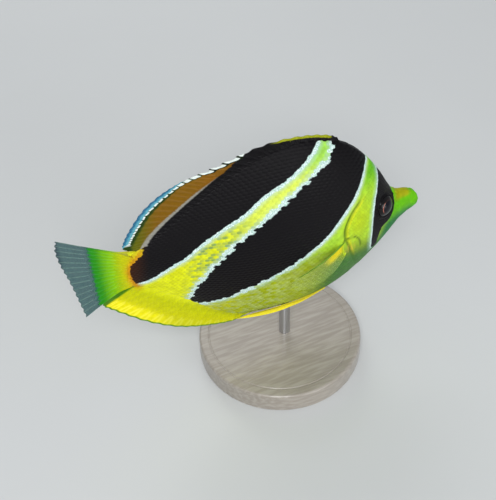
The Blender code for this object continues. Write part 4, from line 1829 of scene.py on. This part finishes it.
@dataclass
class TailFin(MidlineFin):
    """Tail fin: orange-yellow root, lime then green, and a clear rear third."""

    name: str = "tail_fin"
    nodes: tuple[str, ...] = ("caudal_fin",)
    slot: str = "yellow_fin"
    rays: int = 15
    steps: int = 13
    rows: int = 50
    twist: float = 0.022
    collar: float = 0.011
    reach: float = 0.030
    edge: Path = Path((
        (1.199, 0.154), (1.203, 0.120), (1.192, 0.071), (1.176, 0.025), (1.160, -0.029),
        (1.146, -0.080), (1.132, -0.130)))
    orange: Colour = srgb(212, 146, 4)
    yellow: Colour = srgb(196, 196, 2)
    zones: tuple[Zone, ...] = (
        Zone("behind", 1.000, 1.050, srgb(126, 190, 0), 1.0, 0.004),
        Zone("behind", 1.040, 1.090, srgb(34, 140, 14), 1.0, 0.006),
        Zone("behind", 1.092, 1.108, srgb(40, 90, 92), 0.66, 0.010),
        Zone("behind", 1.172, 1.184, srgb(14, 60, 70), 0.72, 0.006),
        Zone("streak", 0.55, 0.85, srgb(118, 146, 132), 0.75, 0.5))

    def root(self, s: Array) -> Array:
        """Roots across the end of the tail stock, a little in from both its edges.

        Args:
            s: Shares along the root, from the top down.

        Returns:
            Points in body axes.
        """
        top = self.form.back(np.ones_like(s)) - 0.003
        bottom = self.form.belly(np.ones_like(s)) + 0.003
        return np.stack([np.full_like(s, 0.985), top + (bottom - top) * s,
                         np.zeros_like(s)], -1)

    def drift(self, s: Array, v: Array) -> Array:
        """The corners sweep a little to the side."""
        sweep = self.twist * (2 * s - 1) * v**1.5
        return np.stack([np.zeros_like(sweep), np.zeros_like(sweep), sweep], -1)

    def colours(self, s: Array, v: Array) -> dict[str, Array]:
        """Orange to yellow, with a field for the green and clear parts behind.

        Args:
            s: Shares along the root.
            v: Shares out to the margin.

        Returns:
            Fields of the finish.
        """
        x, y = self.in_view(s, v)
        tint = mix(ramp(x + 0.3 * np.abs(y), 0.990, 1.020), self.orange, self.yellow)
        comb = np.cos(2 * math.pi * s * (self.rays - 1))
        behind = x - 0.12 * y + 0.004 * comb
        streak = ramp(comb, 0.80, 1.0) * ramp(behind, 1.10, 1.12)
        return {"tint": tint, "solid": np.ones_like(x), "behind": behind, "streak": streak}

    def scaled(self, s: Array, v: Array) -> Array:
        """A narrow strip at the root."""
        return self.in_view(s, v)[0] < 1.035


@dataclass
class PairedFin(RayFin):
    """A fin of which the fish has a right and a left one."""

    stem: str = ""
    node_stem: str = ""

    def __post_init__(self) -> None:
        """Name the fin and its node for its side."""
        self.name = f"{self.stem}_{self.side.word}"
        self.nodes = (f"{self.node_stem}_{self.side.word}",)


@dataclass
class SideFin(PairedFin):
    """Pectoral fin: a thin clear fan with a yellow upper root."""

    stem: str = "side_fin"
    node_stem: str = "pectoral_fin"
    slot: str = "clear_fin"
    rays: int = 14
    steps: int = 12
    web: float = 0.0010
    ray: float = 0.0026
    collar: float = 0.0020
    reach: float = 0.020
    ends: tuple[tuple[float, float], ...] = ((0.312, -0.030), (0.296, -0.084))
    tips: Path = Path((
        (0.500, -0.088, 0.128), (0.508, -0.112, 0.124), (0.498, -0.142, 0.116),
        (0.470, -0.170, 0.106), (0.430, -0.186, 0.098), (0.385, -0.178, 0.094)))
    rise: float = 0.020
    sunk: float = 0.0015
    base: Colour = srgb(190, 216, 28)
    yellow: Colour = srgb(232, 216, 0)
    mist: Colour = srgb(180, 206, 112)
    zones: tuple[Zone, ...] = (
        Zone("lead", 0.45, 0.75, srgb(110, 156, 40), 0.95),)

    def foot(self, s: Array) -> tuple[Array, Array]:
        """Distances back and heights of the short slanting line that the fin springs from."""
        high, low = self.ends
        return tuple(high[k] * (1 - s) + low[k] * s for k in (0, 1))

    def root(self, s: Array) -> Array:
        """Roots on the flank, a little sunk.

        Args:
            s: Shares along the root.

        Returns:
            Points in body axes.
        """
        x, y = self.foot(s)
        flat = np.stack([x, y, self.form.on_flank(x, y)], -1)
        return flat - self.form.out_of(x, y) * self.sunk

    def margin(self, s: Array) -> Array:
        """Margin in space."""
        return self.tips(s)

    def drift(self, s: Array, v: Array) -> Array:
        """The fin lifts off the flank near its root and lies back towards its tip."""
        rise = self.rise * (1 - (1 - v) ** 4) * np.sqrt(np.maximum(1 - v, 0.0))
        return self.form.out_of(*self.foot(s)) * rise[..., None]

    def colours(self, s: Array, v: Array) -> dict[str, Array]:
        """Yellow root and clear web, with a field for the pale leading ray.

        Args:
            s: Shares along the root.
            v: Shares out to the margin.

        Returns:
            Fields of the finish.
        """
        patch = ramp(v, 0.50, 0.26) * ramp(s, 0.75, 0.35) * ramp(v, 0.03, 0.10)
        comb = 0.5 + 0.5 * np.cos(2 * math.pi * s * (self.rays - 1))
        tint = layered(mix(ramp(v, 0.05, 0.30), self.base, self.mist), (self.yellow, patch))
        solid = np.maximum(ramp(v, 0.12, 0.03), patch * (0.45 + 0.55 * comb))
        solid = np.maximum(0.95 * solid, 0.07 + 0.26 * comb**2 * (1 - 0.6 * v))
        lead = ramp(s, 0.065, 0.015) * ramp(v, 1.1, 0.8)
        return {"tint": tint, "solid": solid, "lead": lead}


@dataclass
class BellyFin(PairedFin):
    """Pelvic fin: a strong yellow blade folded back, its spine lowest."""

    stem: str = "belly_fin"
    node_stem: str = "pelvic_fin"
    slot: str = "yellow_fin"
    rays: int = 5
    spines: int = 1
    steps: int = 14
    rows: int = 60
    web: float = 0.0018
    ray: float = 0.0040
    low: Path = Path((
        (0.316, -0.277, 0.030), (0.389, -0.3085, 0.031), (0.440, -0.3215, 0.031),
        (0.500, -0.3285, 0.031), (0.565, -0.3250, 0.030), (0.634, -0.3165, 0.027)))
    high: Path = Path((
        (0.316, -0.274, 0.030), (0.385, -0.301, 0.031), (0.435, -0.3075, 0.031),
        (0.490, -0.3105, 0.031), (0.545, -0.312, 0.030), (0.600, -0.313, 0.028)))
    yellow: Colour = srgb(240, 226, 16)
    deep: Colour = srgb(214, 196, 10)

    def across(self, s: Array, v: Array) -> Array:
        """Point between the lower and the upper edge."""
        s, v = np.broadcast_arrays(s, v)
        return self.low(v) * (1 - s[..., None]) + self.high(v) * s[..., None]

    def root(self, s: Array) -> Array:
        """Front end of the blade, under the belly's skin."""
        return self.across(s, np.zeros_like(s))

    def margin(self, s: Array) -> Array:
        """Rear end of the blade."""
        return self.across(s, np.ones_like(s))

    def drift(self, s: Array, v: Array) -> Array:
        """Whatever the blade's curved edges add to a straight blade."""
        straight = (self.root(s) * (1 - v)[..., None] + self.margin(s) * v[..., None])
        return self.across(s, v) - straight

    def normal(self, s: Array, v: Array) -> Array:
        """The blade stands upright, so its thickness is sideways."""
        shape = np.broadcast_shapes(s.shape, v.shape)
        return np.broadcast_to(np.array([0.0, 0.0, 1.0]), shape + (3,))

    def colours(self, s: Array, v: Array) -> dict[str, Array]:
        """Bright yellow, deeper towards the inner rays."""
        tint = mix(s + 0 * v, self.yellow, self.deep)
        return {"tint": tint, "solid": np.ones(tint.shape[:-1])}


@dataclass
class Eye:
    """One eye: a curved front over a dark iris, with a flat back in its socket."""

    form: FishForm
    side: Side
    ball: float = 0.044
    depth: float = 0.013
    rings: int = 40
    around: int = 96
    clear: float = 0.0002

    def build(self) -> bpy.types.Object:
        """Make the eye.

        A surface turned round the eye's axis: the radius grows as the sine of the angle
        from the axis up to the rim, the height falls as its cosine, and a short wall and a
        flat back close it.

        Returns:
            The eye.
        """
        centre, axis = self.form.eye_frame()
        show = self.form.eye_radius - self.clear
        sink = math.sqrt(self.ball**2 - show**2)
        reach = math.asin(show / self.ball) * np.linspace(0.02, 1.0, self.rings)
        radius = np.concatenate([self.ball * np.sin(reach), [show, show * 0.2]])
        height = np.concatenate([self.ball * np.cos(reach) - sink, [-self.depth] * 2])
        across = unit(np.cross([0.0, 1.0, 0.0], axis))
        up = np.cross(axis, across)
        turn = np.linspace(0.0, 2 * math.pi, self.around, endpoint=False)[None, :]
        ring = np.cos(turn)[..., None] * across + np.sin(turn)[..., None] * up
        p = centre + radius[:, None, None] * ring + height[:, None, None] * axis
        points = self.form.place(p[..., 0], p[..., 1], p[..., 2], self.side)
        rows = len(radius)
        gone = np.broadcast_to((radius / show)[:, None], (rows, self.around))
        gone = np.where(np.arange(rows)[:, None] >= self.rings, 1.0, gone)
        # Painted glint: high on the ring's rear side, faint elsewhere.
        rear = 0.04 + 0.96 * ramp(np.cos(turn - 0.25), 0.55, 0.98)
        kept = {"reach": gone.ravel(), "glint": np.broadcast_to(rear, gone.shape).ravel()}
        piece = outward(Piece(points.reshape(-1, 3), tube_faces(rows, self.around), kept))
        name = f"eyeball_{self.side.word}"
        made = piece.build(name, EyeFinish().make(name))
        return fit_out(made, (f"eye_{self.side.word}",), "eye")


@dataclass
class Stand:
    """Round lacquered base and the steel rod that holds the fish."""

    radius: float = 0.030
    thickness: float = 0.008
    ease: float = 0.001
    foot_ease: float = 0.0004
    groove: tuple[float, ...] = (0.0268, 0.0266, 0.0262, 0.0260)
    groove_deep: float = 0.0002
    top_inner: float = 0.0040
    rod_radius: float = 0.0020
    rod_clear: float = 0.00005
    rod_end: tuple[tuple[float, float], ...] = (
        (1.0, 0.0009), (0.96, 0.0005), (0.85, 0.00015), (0.7, 0.0))
    around: int = 160

    def turned(self, stations: Array, centre: tuple[float, float]) -> Piece:
        """Surface turned round an upright axis, closed at both ends.

        Args:
            stations: Radii and heights, a row for each ring.
            centre: Where the axis stands.

        Returns:
            The arrays of the surface.
        """
        turn = np.linspace(0.0, 2 * math.pi, self.around, endpoint=False)[None, :]
        radius, height = stations[:, 0:1], stations[:, 1:2]
        points = np.stack([centre[0] + radius * np.cos(turn), centre[1] + radius * np.sin(turn),
                           np.broadcast_to(height, (len(stations), self.around))], -1)
        return outward(Piece(points.reshape(-1, 3), tube_faces(len(stations), self.around)))

    def base(self) -> bpy.types.Object:
        """Make the base: a disc with a rounded upper edge and a fine groove inside it.

        Returns:
            The base.
        """
        bend = np.linspace(0.0, math.pi / 2, 8)
        edge = np.stack([self.radius - self.ease + self.ease * np.cos(bend),
                         self.thickness - self.ease + self.ease * np.sin(bend)], -1)
        foot = np.array([[self.radius - self.foot_ease, 0.0], [self.radius, self.foot_ease]])
        drops = (0.0, self.groove_deep, self.groove_deep, 0.0, 0.0)
        inner = np.array([[radius, self.thickness - drop]
                          for radius, drop in zip((*self.groove, self.top_inner), drops)])
        made = self.turned(np.concatenate([foot, edge, inner]), (0.0, 0.0)).build(
            "lacquered_base", LacquerFinish().make("lacquered_base"))
        made.data.set_sharp_from_angle(angle=math.radians(35))
        return fit_out(made, ("stand_base",), "stand_base")

    def rod(self) -> bpy.types.Object:
        """Make the rod: straight from the base up, its top rounded inside the belly.

        Returns:
            The rod.
        """
        low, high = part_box("stand_rod")
        middle = ((low.x + high.x) / 2, (low.y + high.y) / 2)
        line = np.array([[self.rod_radius, self.thickness + self.rod_clear]]
                        + [[self.rod_radius * share, high.z - drop]
                           for share, drop in self.rod_end])
        made = self.turned(line, middle).build("steel_rod", SteelFinish().make("steel_rod"))
        made.data.set_sharp_from_angle(angle=math.radians(40))
        return fit_out(made, ("stand_rod",), "stand_rod")

    def build(self) -> list[bpy.types.Object]:
        """Make the base and the rod."""
        return [self.base(), self.rod()]


@dataclass(frozen=True)
class Lamp:
    """One square soft light: its place, the length of its side and its power."""

    name: str
    place: tuple[float, float, float]
    size: float
    power: float


@dataclass
class Studio:
    """Pale floor, soft lights and the camera at the photograph's viewing angle."""

    azimuth: float = math.radians(-25.994)
    elevation: float = math.radians(44.360)
    distance: float = 3.0 * BODY
    focal_pixels: float = 968.39
    frame_pixels: tuple[int, int] = (496, 500)
    target_pixel: tuple[float, float] = (279.712, 231.613)
    sensor: float = 36.0
    floor_reach: float = 3.0
    sky_tone: tuple[float, float, float, float] = (0.86, 0.90, 0.94, 1.0)
    sky_strength: float = 0.46
    lamps: tuple[Lamp, ...] = (
        Lamp("key", (-0.30, -0.60, 0.72), 0.35, 5.5),
        Lamp("fill", (0.25, -0.85, 0.20), 0.5, 2.5),
        Lamp("rear", (0.1, 0.7, 0.5), 0.5, 2.0))

    def camera(self) -> bpy.types.Object:
        """Place the camera.

        It stands back from the fish's midpoint along the azimuth and elevation, and is
        turned so that the midpoint falls on its named pixel.

        Returns:
            The camera.
        """
        a, e = self.azimuth, self.elevation
        back = Vector((math.sin(a) * math.cos(e), -math.cos(a) * math.cos(e), math.sin(e)))
        right = Vector((math.cos(a), math.sin(a), 0.0))
        up = back.cross(right)
        wide, high = self.frame_pixels
        across = (wide / 2 - self.target_pixel[0]) / self.focal_pixels
        down = (high / 2 - self.target_pixel[1]) / self.focal_pixels
        ahead = (-back + right * across - up * down).normalized()
        right = (right - ahead * right.dot(ahead)).normalized()
        up = right.cross(ahead)
        turn = Matrix((right, up, -ahead)).transposed().to_4x4()
        data = bpy.data.cameras.new("camera")
        data.sensor_width = self.sensor
        data.lens = self.sensor * self.focal_pixels / max(self.frame_pixels)
        data.clip_start = 0.01
        made = bpy.data.objects.new("camera", data)
        made.matrix_world = Matrix.Translation(
            Vector((0.0, 0.0, AXIS_HEIGHT)) + back * self.distance) @ turn
        bpy.context.scene.collection.objects.link(made)
        bpy.context.scene.camera = made
        return made

    def light(self, lamp: Lamp) -> None:
        """Add one lamp aimed at the fish.

        Args:
            lamp: The lamp.
        """
        data = bpy.data.lights.new(lamp.name, "AREA")
        data.size = lamp.size
        data.energy = lamp.power
        made = bpy.data.objects.new(lamp.name, data)
        made.location = lamp.place
        aim = Vector((0.0, 0.0, AXIS_HEIGHT)) - Vector(lamp.place)
        made.rotation_euler = aim.to_track_quat("-Z", "Y").to_euler()
        bpy.context.scene.collection.objects.link(made)

    def build(self) -> None:
        """Make floor, sky, lights and camera."""
        r = self.floor_reach
        points = np.array([[-r, -r, 0], [r, -r, 0], [r, r, 0], [-r, r, 0]], float)
        floor = Piece(points, [np.array([[0, 1, 2, 3]])]).build(
            "floor", PlainFinish().make("floor"))
        world = bpy.data.worlds.new("sky")
        bpy.context.scene.world = world
        world.use_nodes = True
        sky = world.node_tree.nodes["Background"].inputs
        sky[0].default_value = self.sky_tone
        sky[1].default_value = self.sky_strength
        for lamp in self.lamps:
            self.light(lamp)
        bpy.context.scene.view_settings.view_transform = "Standard"
        self.camera()


def main() -> None:
    """Build every part of the model and the studio, in order."""
    logging.basicConfig(level=logging.INFO, format="%(name)s: %(message)s")
    form, markings = FishForm(), Markings()
    made = [Skin(form, markings).build()]
    flank = ScaleCoat(form, markings, "flank_scales", start=0.20, end=0.985,
                      pitch=(0.0210, 0.0145), row=0.0110, bed=ScaleBed(0.0018), on_head=False)
    head = ScaleCoat(form, markings, "head_scales", start=0.08, end=0.315,
                     pitch=(0.0125, 0.0135), row=0.0066,
                     bed=ScaleBed(0.0010, across=4, length=4, evenness=0.5), on_head=True)
    for side in Side:
        made += [flank.build(side), head.build(side), Eye(form, side).build()]
        made += SideFin(form, markings, side=side).build()
        made += BellyFin(form, markings, side=side).build()
    for fin in (SpinyBackFin, SoftBackFin, AnalFin, TailFin):
        made += fin(form, markings).build()
    made += Stand().build()
    for piece in made:
        count = sum(len(p.vertices) - 2 for p in piece.data.polygons)
        log.info("%s: %d triangles", piece.name, count)
    Studio().build()


if __name__ == "__main__":
    main()
